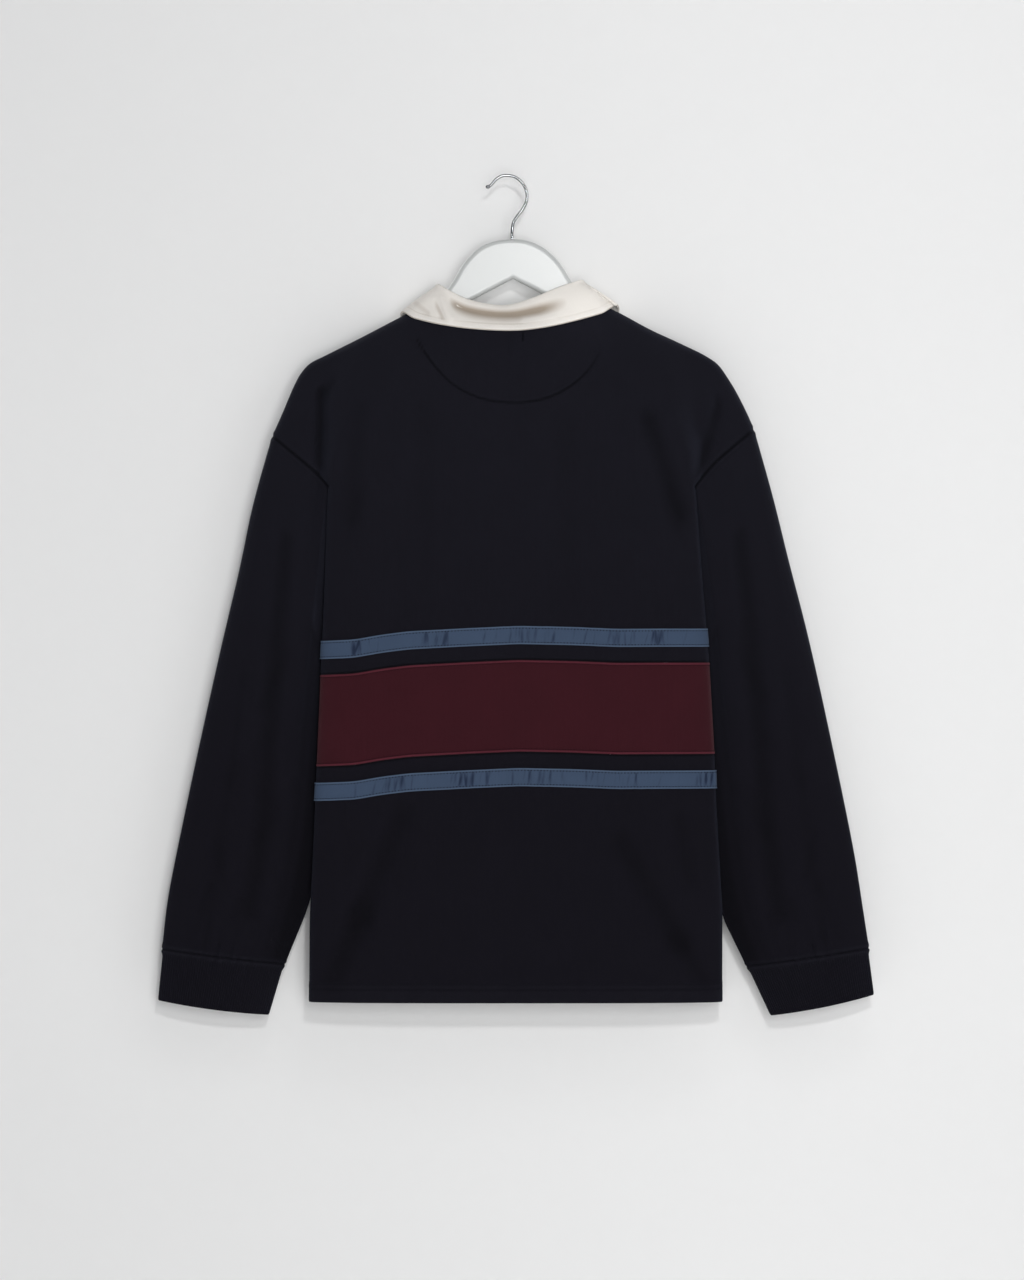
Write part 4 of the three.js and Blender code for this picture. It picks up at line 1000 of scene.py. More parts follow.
# share of length and place across at both ends, then depth and width in mm
sleeve_creases = {
    BACK: [(0.16, 0.46, 0.9, 0.62, 3.2, 11), (0.3, 0.78, 1.0, 0.85, 2.3, 8), (0.45, 0.27, 0.97, 0.35, 1.7, 9),
           (0.2, 0.24, 0.42, 0.3, 1.0, 8), (0.36, 0.62, 0.5, 0.44, 0.9, 7), (0.55, 0.5, 0.66, 0.3, 0.8, 7),
           (0.62, 0.74, 0.74, 0.6, 0.9, 7), (0.76, 0.24, 0.86, 0.44, 0.9, 6), (0.86, 0.3, 0.97, 0.22, 1.3, 5),
           (0.88, 0.52, 0.99, 0.47, 1.3, 5), (0.9, 0.72, 0.99, 0.68, 1.0, 4.5),
           (0.1, 0.7, 0.3, 0.86, 1.2, 7)],
    FRONT: [(0.12, 0.54, 0.88, 0.56, 3.0, 11), (0.34, 0.78, 1.0, 0.8, 2.2, 8), (0.4, 0.3, 0.96, 0.3, 1.7, 9),
            (0.5, 0.62, 0.6, 0.42, 0.9, 7), (0.7, 0.3, 0.8, 0.48, 0.9, 6), (0.88, 0.44, 0.99, 0.4, 1.3, 5),
            (0.89, 0.62, 0.99, 0.66, 1.1, 5), (0.26, 0.3, 0.36, 0.5, 0.8, 8)],
}
cad_runs = np.append(np.array([0, 0.004, 0.016, 0.045, 0.1, 0.19, 0.31, 0.46, 0.64, 0.82, 1]) / 2,
                     0.5 + np.arange(1, 6) / 10)
sleeve_length, sleeve_width = 540.0, 135.0
gather_waves = (8, 13)
print("sleeve from the armhole to the cuff:", sleeve_length, "mm")

# %% [markdown]
# Each ring blends four borders: the sleeve's outer edge, its inner edge, the armhole and the line of
# the cuff. It is as thick as a flattened tube, its creases are taken off that thickness, and the last
# tenth is gathered into the cuff in small uneven waves.

# %% Rings of a sleeve
def ring_places(across_half):
    """Round a tube: over the back from the outer edge to the inner seam, and back over the front."""
    across = np.concatenate([across_half, across_half[-2:0:-1]])
    faces = np.where(np.arange(len(across)) < len(across_half), BACK, FRONT)
    return across, faces


def armhole_starts(side, across, faces):
    index = np.arccos(1 - 2 * across) / math.pi * (len(cad_runs) - 1)
    runs = np.interp(index, range(len(cad_runs)), cad_runs)
    starts = np.array([body_row(face, run, [side])[0] for face, run in zip(faces, runs)])
    starts[:, 0] += side * armhole_gap * across**2
    return starts


def sleeve_rings(side, shares, across, faces):
    """Rings of points at shares of the sleeve's length, with the seam folds and gathers in them."""
    outer = round_line(sleeve_outer[side])
    underarm = body_row(BACK, 1.0, [side])[0, [0, 2]]
    inner = round_line([underarm, *sleeve_inner[side]])
    starts = armhole_starts(side, across, faces)
    t, a = shares[:, None], across[None, :]
    outer_spots, inner_spots = along(outer, shares)[:, None], along(inner, shares)[:, None]
    cuff_line = mix(outer_spots[-1:] * 0 + along(outer, 1.0), along(inner, 1.0), a[..., None])
    arm_line = mix(along(outer, 0.0), along(inner, 0.0), a[..., None])
    lengthwise = mix(outer_spots, inner_spots, a[..., None])
    crosswise = mix(starts[None, :, [0, 2]], cuff_line, t[..., None])
    spot = lengthwise + crosswise - mix(arm_line, cuff_line, t[..., None])
    lens = np.sin(math.pi * a) ** mix(0.55, 0.85, a)
    half = np.interp(t, *sleeve_halves)
    crease = 0
    for face in (BACK, FRONT):
        table = [(t1 * sleeve_length, a1 * sleeve_width, t2 * sleeve_length, a2 * sleeve_width, depth, width)
                 for t1, a1, t2, a2, depth, width in sleeve_creases[face]]
        crease = crease + folds(table, t * sleeve_length, a * sleeve_width) * (faces == face)
    gather = np.clip((a - 0.16) / 0.74, 0, 1)
    broad, fine = (np.cos(2 * math.pi * count * gather) for count in gather_waves)
    waves = np.sin(math.pi * gather) * (broad + 0.5 * fine)
    crease = crease + 1.2 * smooth(t, 0.9, 0.985) * waves
    loose = np.maximum(half * lens - crease * lens, 0)
    depth = mix(loose, np.abs(starts[None, :, 1]), 1 - smooth(t, 0, 0.32))
    depth = np.where((a < 1e-6) | (a > 1 - 1e-6), 0, depth)
    return np.stack([spot[..., 0], faces * depth, spot[..., 1]], -1), crease


print("rings run round from the outer edge")

# %% [markdown]
# At the armhole the sleeve's edge is drawn under the body's, which leaves a narrow groove. The first
# ring is moved off the seam by the gap between pieces. Near the cuff the sleeve swells over the rib.

# %% Sleeves
tuck_under, sleeve_top_z = 2.5, -250
half_ring = (1 - np.cos(np.linspace(0, math.pi, 61))) / 2
sleeve_shares = graded(0, 1, 0.0022, 0.0085, 0.03)
sleeves = {}
for side, word in ((LEFT, "left"), (RIGHT, "right")):
    across, faces = ring_places(half_ring)
    grid, crease = sleeve_rings(side, sleeve_shares, across, faces)
    # painted shade: the sleeve is painted darker in its creases and along its inner edge beside the body,
    # which shades it
    painted_shade_beside_body = 4.2 * smooth(across, 0.82, 0.91)[None] * smooth(sleeve_shares, 0.02, 0.12)[:, None]
    hollow_and_painted_shade = sleeve_painted_shade * np.clip(np.maximum(crease, painted_shade_beside_body), *painted_shade_reach)
    out = outward(grid, -side, closed=True)
    around = np.roll(grid[0], -1, axis=0) - np.roll(grid[0], 1, axis=0)
    around /= np.linalg.norm(around, axis=-1, keepdims=True)
    away = grid[1] - grid[0]
    away -= around * (away * around).sum(-1, keepdims=True)
    away /= np.maximum(np.linalg.norm(away, axis=-1, keepdims=True), 1e-9)
    tucked = grid[:1] - tuck_under * away - (cloth_wall + 0.2) * out[0]
    grid[0] += 0.1 * away
    grid, out = np.concatenate([tucked, grid]), np.concatenate([out[:1], out])
    hollow_and_painted_shade = np.concatenate([hollow_and_painted_shade[:1], hollow_and_painted_shade])
    down = np.append(0, sleeve_shares * sleeve_length)[:, None]
    relief = 0.4 * hump(down, 4, 2) - 0.9 * hump(down, 0, 1.6)
    relief = relief + 0.5 * hump(sleeve_length - down, 3.5, 2.6) - 0.8 * hump(sleeve_length - down, 0, 1.1)
    width = np.linalg.norm(np.diff(grid, axis=1, append=grid[:, :1]), axis=-1).cumsum(1)
    grain = np.stack([width, sleeve_top_z - down + 0 * width], -1)
    name = f"sleeve_{word}"
    sleeves[side] = shell(f"{name}_cloth", grid, out, cloth_wall, navy, relief=relief + 0 * width,
                          grain=grain, closed=True, hollow_and_painted_shade=hollow_and_painted_shade)
    dress(sleeves[side], name)
    print(name, "polygons", len(sleeves[side].data.polygons))

# %% [markdown]
# The cuffs are a doubled rib, about 50 mm deep. Ribs are too regular for a bump to carry on the
# outline, so they are real waves round the tube, one every 2.4 mm. The ring is divided evenly by its
# length, five points to a rib, and the wave is laid on the outer face only.

# %% Cuffs
ribs_round, points_per_rib = 104, 5


def cuff_rings(side, shares, across, faces):
    seam = sleeve_rings(side, np.array([1.0]), across, faces)[0][0]
    outer, inner, sag = cuff_ends[side]
    t = shares[:, None]
    narrow = smooth(t, 0, 0.16)
    pulled = mix(across, mix(0.012, 0.988, across), narrow)
    edge = along(round_line(sleeve_outer[side]), 1.0)[0], sleeve_inner[side][-1][0]
    seam_x = mix(edge[0], edge[1], pulled)
    bottom_x = mix(outer[0], inner[0], across)
    bottom_z = mix(outer[1], inner[1], across) + sag * np.sin(math.pi * across)
    half = mix(14, 13, t) * np.sin(math.pi * np.clip(across, 0, 1)) ** 0.6
    depth = mix(np.abs(seam[:, 1]), half, narrow)
    return np.stack([mix(seam_x, bottom_x, t), faces * depth, mix(seam[:, 2], bottom_z, t)], -1)


def even_ring(side, count):
    """Places round the cuff with the same distance between them."""
    dense, faces = ring_places((1 - np.cos(np.linspace(0, math.pi, 1501))) / 2)
    ring = cuff_rings(side, np.array([0.5]), dense, faces)[0]
    length = np.append(0, np.linalg.norm(np.diff(ring, axis=0), axis=1).cumsum())
    round_place = np.where(faces == BACK, dense, 2 - dense)
    wanted = np.interp(np.arange(count) / count * length[-1], length, round_place)
    return np.where(wanted <= 1, wanted, 2 - wanted), np.where(wanted <= 1, BACK, FRONT), length[-1]


cuffs = {}
cuff_shares = np.concatenate([[0, 0.012, 0.03, 0.055, 0.09, 0.13], np.linspace(0.18, 0.955, 14), [0.98, 1]])
for side, word in ((LEFT, "left"), (RIGHT, "right")):
    across, faces, girth = even_ring(side, ribs_round * points_per_rib)
    grid = cuff_rings(side, cuff_shares, across, faces)
    out = outward(grid, -side, closed=True)
    down = (cuff_shares * 50)[:, None]
    phase = np.arange(len(across)) / points_per_rib * 2 * math.pi
    waves = 0.32 * np.cos(phase)[None] * smooth(down, 1.5, 5) * (1 - smooth(down, 48, 50))
    relief = waves + 0.7 * hump(down, 2.2, 1.6) - 0.5 * hump(down, 0, 0.8) - 0.35 * hump(down, 50, 0.9)
    turned = np.arange(len(across)) / len(across) * girth
    grain = np.stack([turned + 0 * down, -down + 0 * turned], -1)
    name = f"cuff_{word}"
    cuffs[side] = shell(f"{name}_rib", grid, out, rib_wall, navy_rib, relief=relief, grain=grain, closed=True)
    dress(cuffs[side], name)
    print(name, "is", round(girth), "mm round with", ribs_round, "ribs")

# %% [markdown]
# The collar stands up from the neck seam, rolls over and falls on the shoulders. Each place round the
# neck has a cross-section of eight points, from the seam over the fold to the outer edge, and a
# rounded curve goes through them. The two layers of twill roll softly, so there is no sharp fold.

# %% Measures of the collar
# turn round the neck, x, y and z of the fold, x and z of the outer edge
collar_rows = np.array([
    (-1.92, -7, 27, -188, -46, -250), (-1.75, -27, 25, -180, -68, -230),
    (-1.5, -50, 21, -165, -90, -200), (-1.25, -66, 12, -138, -104, -168),
    (-1, -70.5, 0, -112.6, -107, -143.7), (-0.75, -60, -8, -117.5, -93, -147.6),
    (-0.5, -42, -11, -126.6, -66, -154.3), (-0.25, -21, -13, -132.4, -30, -159.2),
    (0, 1, -13.5, -134, 9, -160.6), (0.25, 26, -13, -127, 40, -157.2),
    (0.5, 50, -11, -117, 70, -150.6), (0.75, 68, -8, -110.4, 98, -142.4),
    (1, 79, 0, -109, 115, -136.4), (1.25, 74.5, 12, -136, 111, -165),
    (1.5, 58, 21, -164, 98, -199), (1.75, 35, 25, -180, 76, -230), (1.92, 15, 27, -188, 54, -250),
])
collar_seat, collar_inset, collar_fall_lift = 1.7, 0.9, 3.4
roll_width, roll_drop, smoothing_rounds = 4.5, 3.4, 6
# the hollow's depth and width in mm, and the painted shade for each mm of crease
hollow_depth, hollow_width, collar_painted_shade = 3.4, 7.5, 0.17
# x and z of both ends, depth, width
collar_creases = [
    (-66, -126, -57, -149, -1.7, 3.2), (-73, -130, -65, -147, 1.6, 3), (-92, -132, -80, -142, 1.1, 4),
    (-84, -122, -74, -130, -0.9, 4), (88, -118, 96, -134, -0.6, 6), (20, -150, 48, -147, -0.7, 4),
]
collar_hollow = round_line([(-57, -128), (-42, -137), (-22, -142), (6, -143.5), (34, -139), (60, -132)])


def on_shoulder(x, z, face, lift):
    distance, out_x, out_z = ridge_distance(x, z)[:3]
    upward = np.clip(1 - distance / ridge_radius, 0, 1)
    y = face * (hanging_depth(x, z, face) + np.sqrt(1 - upward**2) * lift)
    return np.stack([x + out_x * upward * lift, y, z + out_z * upward * lift], -1)


def collar_section(place):
    """Eight points from the seam over the fold to the edge, at a place in the collar's table."""
    turn = np.interp(place, range(len(collar_rows)), collar_rows[:, 0])
    face, side = (BACK if abs(turn) <= 1 else FRONT), (LEFT if turn < 0 else RIGHT)
    share = abs(turn) if face == BACK else 2 - abs(turn)
    seam_x, seam_z = neck_place(side, face, share)
    seam = on_shoulder(seam_x, seam_z, face, 0)
    values = even_curve(collar_rows, np.array([place]))[0]
    fold = values[1:4]
    edge = on_shoulder(values[4], values[5], face, collar_fall_lift)
    lean = np.array([edge[0] - fold[0], edge[1] - fold[1], 0])
    lean /= np.linalg.norm(lean)
    rise = (fold - seam) / np.linalg.norm(fold - seam)
    start = seam + rise * collar_seat
    if face == FRONT:
        start[0] -= side * collar_inset
    roll = fold + lean * roll_width - [0, 0, roll_drop]
    inside = fold - lean * 1.2 - [0, 0, 3]
    falls = []
    for way in (0, 0.35, 0.7):
        spot = mix(roll, edge, way) + lean * (1.2 if way else 0)
        above = ridge_distance(spot[0], spot[2])[3]
        clear = 0 if above else hanging_depth(spot[0], spot[2], face) + mix(2.4, 3.2, way)
        spot[1] = face * max(face * spot[1], clear)
        falls.append(spot)
    return [start, mix(start, inside, 0.5), inside, fold + lean * 1.2, *falls, edge]


print("collar sections:", len(collar_rows))

# %% [markdown]
# The collar's outer edge is stitched all round, about 7 mm in, which presses a line into it. The
# fall has a few soft creases on the left, where it does not lie quite flat.

# %% Collar
collar_places = np.linspace(0, len(collar_rows) - 1, 281)
rows_up = np.concatenate([np.linspace(0, 2, 7), np.linspace(2, 4, 15)[1:], np.linspace(4, 7, 25)[1:]])
sections = np.array([collar_section(place) for place in collar_places])
grid = np.array([even_curve(section, rows_up) for section in sections])
for _ in range(smoothing_rounds):
    middle = (grid[:-2] + grid[2:]) / 2
    grid[1:-1] = mix(grid[1:-1], middle, 0.5)
x, z = grid[..., 0], grid[..., 2]
hollow_and_painted_shade = hollow_depth * hump(line_distance(x, z, collar_hollow), 0, hollow_width)
hollow_and_painted_shade = hollow_and_painted_shade * smooth(x, -64, -50) * (1 - smooth(x, 30, 75))
crease = (folds(collar_creases, x, z) + hollow_and_painted_shade) * smooth(rows_up, 3.6, 4.8)[None] * (grid[..., 1] < 0)
grid[..., 1] += crease
out = np.cross(np.gradient(grid, axis=1), np.gradient(grid, axis=0))
out /= np.linalg.norm(out, axis=-1, keepdims=True)
steps_down = np.linalg.norm(np.diff(grid, axis=1), axis=-1)
from_edge = np.column_stack([steps_down[:, ::-1].cumsum(1)[:, ::-1], np.zeros(len(grid))])
along_neck = np.append(0, np.linalg.norm(np.diff(grid[:, -1], axis=0), axis=1).cumsum())[:, None]
end_gap = np.minimum(along_neck, along_neck[-1] - along_neck)
collar_stitch = 6.5
to_rim = np.minimum(from_edge, end_gap)
relief = -0.24 * hump(to_rim, collar_stitch, 0.9) + 0.2 * hump(to_rim, 2.5, 2.5)
relief = relief - 0.5 * hump(to_rim, 0, 0.7)
collar_grain = np.stack([along_neck + 0 * from_edge, from_edge], -1)
# painted shade: the creases and the hollow across the fall are painted darker and warmer, and the ridges a
# little lighter
collar = shell("collar_cloth", grid, out, collar_wall, cream, lift=collar_wall / 2, relief=relief,
               grain=collar_grain, hollow_and_painted_shade=np.clip(crease, -1, 4) * collar_painted_shade)
dress(collar, "collar")
collar_surface, collar_out = grid + out * (collar_wall / 2 + relief)[..., None], out
print("collar polygons", len(collar.data.polygons))

# %% [markdown]
# The front opens with a placket, a twill strip down from the neck with three buttons. It faces the
# wall here, but the part is seen from all sides. It lies on the front panel, so its points are the
# panel's own, moved out.

# %% Placket
placket_width, placket_lift, placket_inset = 32.0, placket_wall + 0.9, 2.4
button_runs = [0.0225, 0.23, 0.5]


def placket_row(run, offsets):
    """Points of the front panel at x offsets from the placket's middle."""
    fine = np.linspace(-0.6, 0.6, 241)
    row = body_row(FRONT, run, fine)
    centre = mix(neck_centre, body_centre, min(run * 2, 1))
    return body_row(FRONT, run, np.interp(centre + offsets, row[:, 0], fine))


offsets = graded(-placket_width / 2, placket_width / 2, 0.6, 2.2, 6)
placket_runs = np.concatenate([np.linspace(0.004, 0.05, 12), np.linspace(0.05, 0.68, 70)[1:]])
grid = np.array([placket_row(run, offsets) for run in placket_runs])
out = outward(grid, -FRONT)
drop = np.append(0, np.linalg.norm(np.diff(grid[:, len(offsets) // 2], axis=0), axis=1).cumsum())[:, None]
side_rim = (placket_width / 2 - np.abs(offsets))[None]
to_foot = drop[-1] - drop
box_height = 18.0
rim = np.minimum(side_rim, to_foot)
relief = 0.2 * hump(rim, 1.4, 1.4) - 0.35 * hump(rim, placket_inset, 0.6)
relief = relief - 0.35 * hump(to_foot, box_height, 0.7) * (side_rim > placket_inset)
placket_grain = np.stack([offsets[None] + 0 * drop, -drop + 0 * side_rim], -1)
placket = shell("placket_cloth", grid, out, placket_wall, cream, lift=placket_lift, relief=relief,
                grain=placket_grain)
dress(placket, "placket")
placket_surface, placket_out = grid + out * (placket_lift + relief)[..., None], out
print("placket is", round(float(drop[-1, 0])), "mm long")

# %% [markdown]
# Every seam on the real shirt shows its thread. A stitch is a short capsule, thick in the middle and
# sunk at both ends. One function lays a whole row: it walks along a line at the stitch pitch and
# builds all capsules as one mesh, which is far lighter than hundreds of objects.

# %% Rows of stitches
capsule_rings = [(-0.72, 0.8, -0.35), (-0.3, 1.0, 0.1), (0.3, 1.0, 0.1), (0.72, 0.8, -0.35)]
capsule_sides = 6


def round_faces(rings, sides):
    """Triangles of a round body: one point, then rings of points, then one point again."""
    faces, last = [], 1 + rings * sides
    for k in range(sides):
        n = (k + 1) % sides
        faces.append((0, 1 + n, 1 + k))
        for ring in range(rings - 1):
            low, high = 1 + ring * sides, 1 + (ring + 1) * sides
            faces += [(low + k, low + n, high + n), (low + k, high + n, high + k)]
        faces.append((last - sides + k, last - sides + n, last))
    return np.array(faces)


def capsules(middles, ways, outs, length, radius):
    """Points and triangles of many stitches at once."""
    sideways = np.cross(ways, outs)
    turns = np.arange(capsule_sides) / capsule_sides * 2 * math.pi
    rings = []
    for place_along, size, sink in [(-1, 0, -0.9), *capsule_rings, (1, 0, -0.9)]:
        centre = middles + ways * place_along * length / 2 + outs * sink * radius
        for turn in turns if size else [0]:
            rings.append(centre + size * radius * (sideways * math.cos(turn) + outs * math.sin(turn)))
    points = np.stack(rings, 1)
    faces = round_faces(len(capsule_rings), capsule_sides)
    count = points.shape[1]
    every = faces[None] + (np.arange(len(middles)) * count)[:, None, None]
    return points.reshape(-1, 3), every.reshape(-1, 3)


def walk(points, outs, pitch, start=0.5, slant=0.0):
    """Middles, directions and outward directions at each pitch along a line of points."""
    length = np.append(0, np.linalg.norm(np.diff(points, axis=0), axis=1).cumsum())
    places = np.arange(start * pitch, length[-1] - pitch * 0.3, pitch)
    places = places + chance.normal(0, 0.03 * pitch, len(places))
    middles = np.stack([np.interp(places, length, column) for column in points.T], -1)
    ahead = np.stack([np.interp(places + 0.6, length, column) for column in points.T], -1)
    behind = np.stack([np.interp(places - 0.6, length, column) for column in points.T], -1)
    out = np.stack([np.interp(places, length, column) for column in outs.T], -1)
    out /= np.linalg.norm(out, axis=-1, keepdims=True)
    way = (ahead - behind) / np.maximum(np.linalg.norm(ahead - behind, axis=-1, keepdims=True), 1e-9)
    if slant:
        way = way + slant * np.cross(out, way)
        way /= np.linalg.norm(way, axis=-1, keepdims=True)
    return middles, way, out


def sew(name, rows, finish, pitch=3.0, length=2.3, radius=0.3, slant=0.0):
    """One mesh of stitches along several lines, each a pair of points and outward directions."""
    points, faces, count = [], [], 0
    for line_points, line_outs in rows:
        more_points, more_faces = capsules(*walk(line_points, line_outs, pitch, slant=slant), length, radius)
        points.append(more_points)
        faces.append(more_faces + count)
        count += len(more_points)
    points, faces = np.concatenate(points), np.concatenate(faces)
    if volume(points, faces) < 0:
        faces = faces[:, ::-1]
    piece = dress(make_piece(name, points, faces, finish, sharp=80), None)
    print(name, "stitches:", len(points) // (2 + capsule_sides * len(capsule_rings)))
    return piece


def level_line(face, z, lift):
    """A line across the body at one level, with its outward directions."""
    columns = np.linspace(-0.985, 0.985, 360)
    grid, out = panel_grid(face, run_at([z + 0.5, z, z - 0.5]), columns)
    return grid[1] + out[1] * lift, out[1]


print("a stitch has", 2 * capsule_sides * len(capsule_rings), "triangles")

# %% [markdown]
# Body seams: a twin row holds the hem, a single row runs inside each edge of the burgundy band and
# of the tapes. Thread matches its cloth, a little darker on the tapes, where it shows as fine dots.

# %% Sew the body
both = (BACK, FRONT)
hem_rows = [level_line(face, hem_z + rise, 0.05) for face in both for rise in hem_stitches]
sew("hem_stitching", hem_rows, navy_thread, pitch=3.2)
band_levels = (band[0] - stitch_inset, band[1] + stitch_inset)
band_rows = [level_line(face, z, 0.2) for face in both for z in band_levels]
sew("band_stitching", band_rows, wine_thread, pitch=2.9, radius=0.32)
tape_top = seam_gap + tape_wall - 0.1
tape_rows = [level_line(face, z, tape_top) for face in both for top, bottom in tapes.values()
             for z in (top - 2.2, bottom + 2.2)]
sew("tape_stitching", tape_rows, slate_thread, pitch=3.3, length=2.0, radius=0.5)

# %% [markdown]
# The half-moon's thread has to lie on the curved back, so each of its places is dropped on to the
# finished surface with a ray, as one would pin a pattern through cloth. The bar-tack under the
# collar is a dense little bar of the same thread.

# %% Sew the half-moon and the bar-tack
back_faces = grid_faces(numbered(*surfaces["back_upper"].shape[:2]))
back_tree = BVHTree.FromPolygons(surfaces["back_upper"].reshape(-1, 3).tolist(), back_faces.tolist())


def land(flat, lift):
    """Places on the back's surface for points in the hanging plane."""
    points, outs = [], []
    for x, z in flat:
        spot, normal = back_tree.ray_cast((x, -200, z), (0, 1, 0))[:2]
        if spot is not None:
            normal = np.array(normal) * (-1 if normal[1] > 0 else 1)
            points.append(np.array(spot) + normal * lift)
            outs.append(normal)
    return np.array(points), np.array(outs)


moon_line = along(half_moon, np.linspace(0.06, 0.93, 220))
sew("half_moon_stitching", [land(moon_line, 0.1)], navy_thread, pitch=3.0)
tack_x, tack_top, tack_length, tack_threads = 17.5, -162.5, 9.0, 22
tack_lines = []
for i in range(tack_threads):
    z = tack_top - tack_length * i / (tack_threads - 1)
    tack_lines.append(land(np.stack([np.linspace(tack_x - 1.4, tack_x + 1.4, 5), np.full(5, z)], -1), 0.25))
sew("bar_tack", tack_lines, navy_thread, pitch=2.7, length=2.6, radius=0.26)

# %% [markdown]
# Collar and placket are topstitched in cream. The collar's row runs at one distance from the rim,
# round the points too. The placket has a row inside each long edge and a box at its foot.

# %% Sew the collar and the placket
def inset_line(surface, out, distance):
    """A line on a sheet's surface at one distance from its last column and from both ends."""
    points, outs = [], []
    for i in range(len(surface)):
        row = from_edge[i][::-1]
        if min(along_neck[i, 0], along_neck[-1, 0] - along_neck[i, 0]) < distance:
            continue
        points.append([np.interp(distance, row, column[::-1]) for column in surface[i].T])
        outs.append([np.interp(distance, row, column[::-1]) for column in out[i].T])
    return np.array(points), np.array(outs)


rim_points, rim_outs = inset_line(collar_surface, collar_out, collar_stitch)
ends = []
for inner_column in (int(np.searchsorted(along_neck[:, 0], collar_stitch)),
                     int(np.searchsorted(along_neck[:, 0], along_neck[-1, 0] - collar_stitch))):
    inside = (from_edge[inner_column] > collar_stitch) & (rows_up > 4)
    ends.append((collar_surface[inner_column][inside], collar_out[inner_column][inside]))
sew("collar_stitching", [(rim_points, rim_outs), *ends], cream_thread, pitch=3.0, radius=0.3)

placket_reach = placket_width / 2 - placket_inset
placket_columns = [int(np.abs(offsets - edge).argmin()) for edge in (-placket_reach, placket_reach)]
placket_rows = [(placket_surface[:, column], placket_out[:, column]) for column in placket_columns]
for height in (placket_inset, box_height):
    row = int(np.abs(to_foot[:, 0] - height).argmin())
    keep = np.abs(offsets) <= placket_reach
    placket_rows.append((placket_surface[row][keep], placket_out[row][keep]))
sew("placket_stitching", placket_rows, cream_thread, pitch=2.8, length=2.2, radius=0.28)

# %% [markdown]
# Sleeve seams: a row of thread follows the armhole just outside it, and one runs round each sleeve
# above its cuff. They are read off the sleeve's own rings at a fixed distance from the end.

# %% Sew the sleeves
arm_rows, cuff_rows = [], []
for side in (LEFT, RIGHT):
    across, faces = ring_places(half_ring)
    for distance, rows in ((5.5, arm_rows), (sleeve_length - 5.0, cuff_rows)):
        around_distance = distance + np.array([-0.6, 0, 0.6])
        grid = sleeve_rings(side, around_distance / sleeve_length, across, faces)[0]
        out = outward(grid, -side, closed=True)
        shown = slice(1, len(half_ring) - 1) if rows is arm_rows else slice(None)
        rows.append((grid[1][shown] + out[1][shown] * 0.35, out[1][shown]))
        if rows is arm_rows:
            rows.append((grid[1][len(half_ring) + 1:] + out[1][len(half_ring) + 1:] * 0.35,
                         out[1][len(half_ring) + 1:]))
sew("armhole_stitching", arm_rows, navy_thread, pitch=3.2)
sew("cuff_stitching", cuff_rows, navy_thread, pitch=3.0)

# %% [markdown]
# A shirt button is turned from a disc: a raised rim, a dished middle and four holes with thread
# crossed over them. The disc is a lathe profile, and the holes are cut with a boolean, because each
# has to go right through.

# %% Buttons
button_height = 2.4
# radius and height of the turned profile
button_profile = [(0, -1.2), (4.6, -1.2), (5.5, -0.95), (5.95, -0.3), (6.0, 0.25), (5.8, 0.8), (5.35, 1.15),
                  (4.9, 1.2), (4.45, 1.05), (4.0, 0.62), (3.6, 0.42), (2.4, 0.34), (0, 0.32)]
hole_offset, hole_radius = 1.15, 0.62


def turned(profile, sides):
    """A lathe shape: its first and last points lie on the axis."""
    turns = np.arange(sides) / sides * 2 * math.pi
    rings = [np.stack([radius * np.cos(turns), radius * np.sin(turns), 0 * turns + height], -1)
             for radius, height in profile[1:-1]]
    points = np.concatenate([[(0, 0, profile[0][1])], *rings, [(0, 0, profile[-1][1])]])
    return points, round_faces(len(rings), sides)


def cut_away(piece, cutters):
    """Cuts cutters out of piece, and applies it, so that only the mesh is left."""
    for cutter in cutters:
        modifier = piece.modifiers.new("cut", "BOOLEAN")
        modifier.operation, modifier.object, modifier.solver = "DIFFERENCE", cutter, "EXACT"
    graph = bpy.context.evaluated_depsgraph_get()
    mesh = bpy.data.meshes.new_from_object(piece.evaluated_get(graph))
    piece.modifiers.clear()
    piece.data = mesh
    for cutter in cutters:
        bpy.data.objects.remove(cutter)


def seat_frame(out):
    """Two directions across a surface and the one out of it, with the first nearly upright."""
    up = np.array([0, 0, 1.0]) - out * out[2]
    up /= np.linalg.norm(up)
    return np.stack([np.cross(up, out), up, out])


hole_places = [(x * hole_offset, y * hole_offset) for x in (-1, 1) for y in (-1, 1)]
for i, run in enumerate(button_runs):
    near_runs = (max(run - 0.002, 0), run, run + 0.002)
    grid = np.array([placket_row(near, np.array([-0.5, 0.0, 0.5])) for near in near_runs])
    out = outward(grid, -FRONT)[1, 1]
    axes = seat_frame(out)
    centre = grid[1, 1] + out * (placket_lift + seam_gap + button_height / 2)
    points, faces = turned(button_profile, 48)
    button = make_piece(f"button_{i + 1}_shell", points @ axes + centre, faces, shell_white, sharp=60)
    drills = []
    for x, y in hole_places:
        points, faces = turned([(0, -3), (hole_radius, -3), (hole_radius, 3), (0, 3)], 16)
        drills.append(make_piece("drill", (points + [x, y, 0]) @ axes + centre, faces, shell_white))
    cut_away(button, drills)
    dress(button, f"button_{i + 1}")
    middles = np.array([[0, hole_offset, 0.75], [0, -hole_offset, 0.75], [0, 0, 0.95]])
    ways = np.array([[1.0, 0, 0], [1.0, 0, 0], [0.7, 0.7, 0]])
    outs = np.array([[0, 0, 1.0]] * 3)
    points, faces = capsules(middles @ axes + centre, ways @ axes, outs @ axes, 3.4, 0.34)
    dress(make_piece(f"button_{i + 1}_thread", points, faces, cream_thread), None)
print("buttons:", len(button_runs))

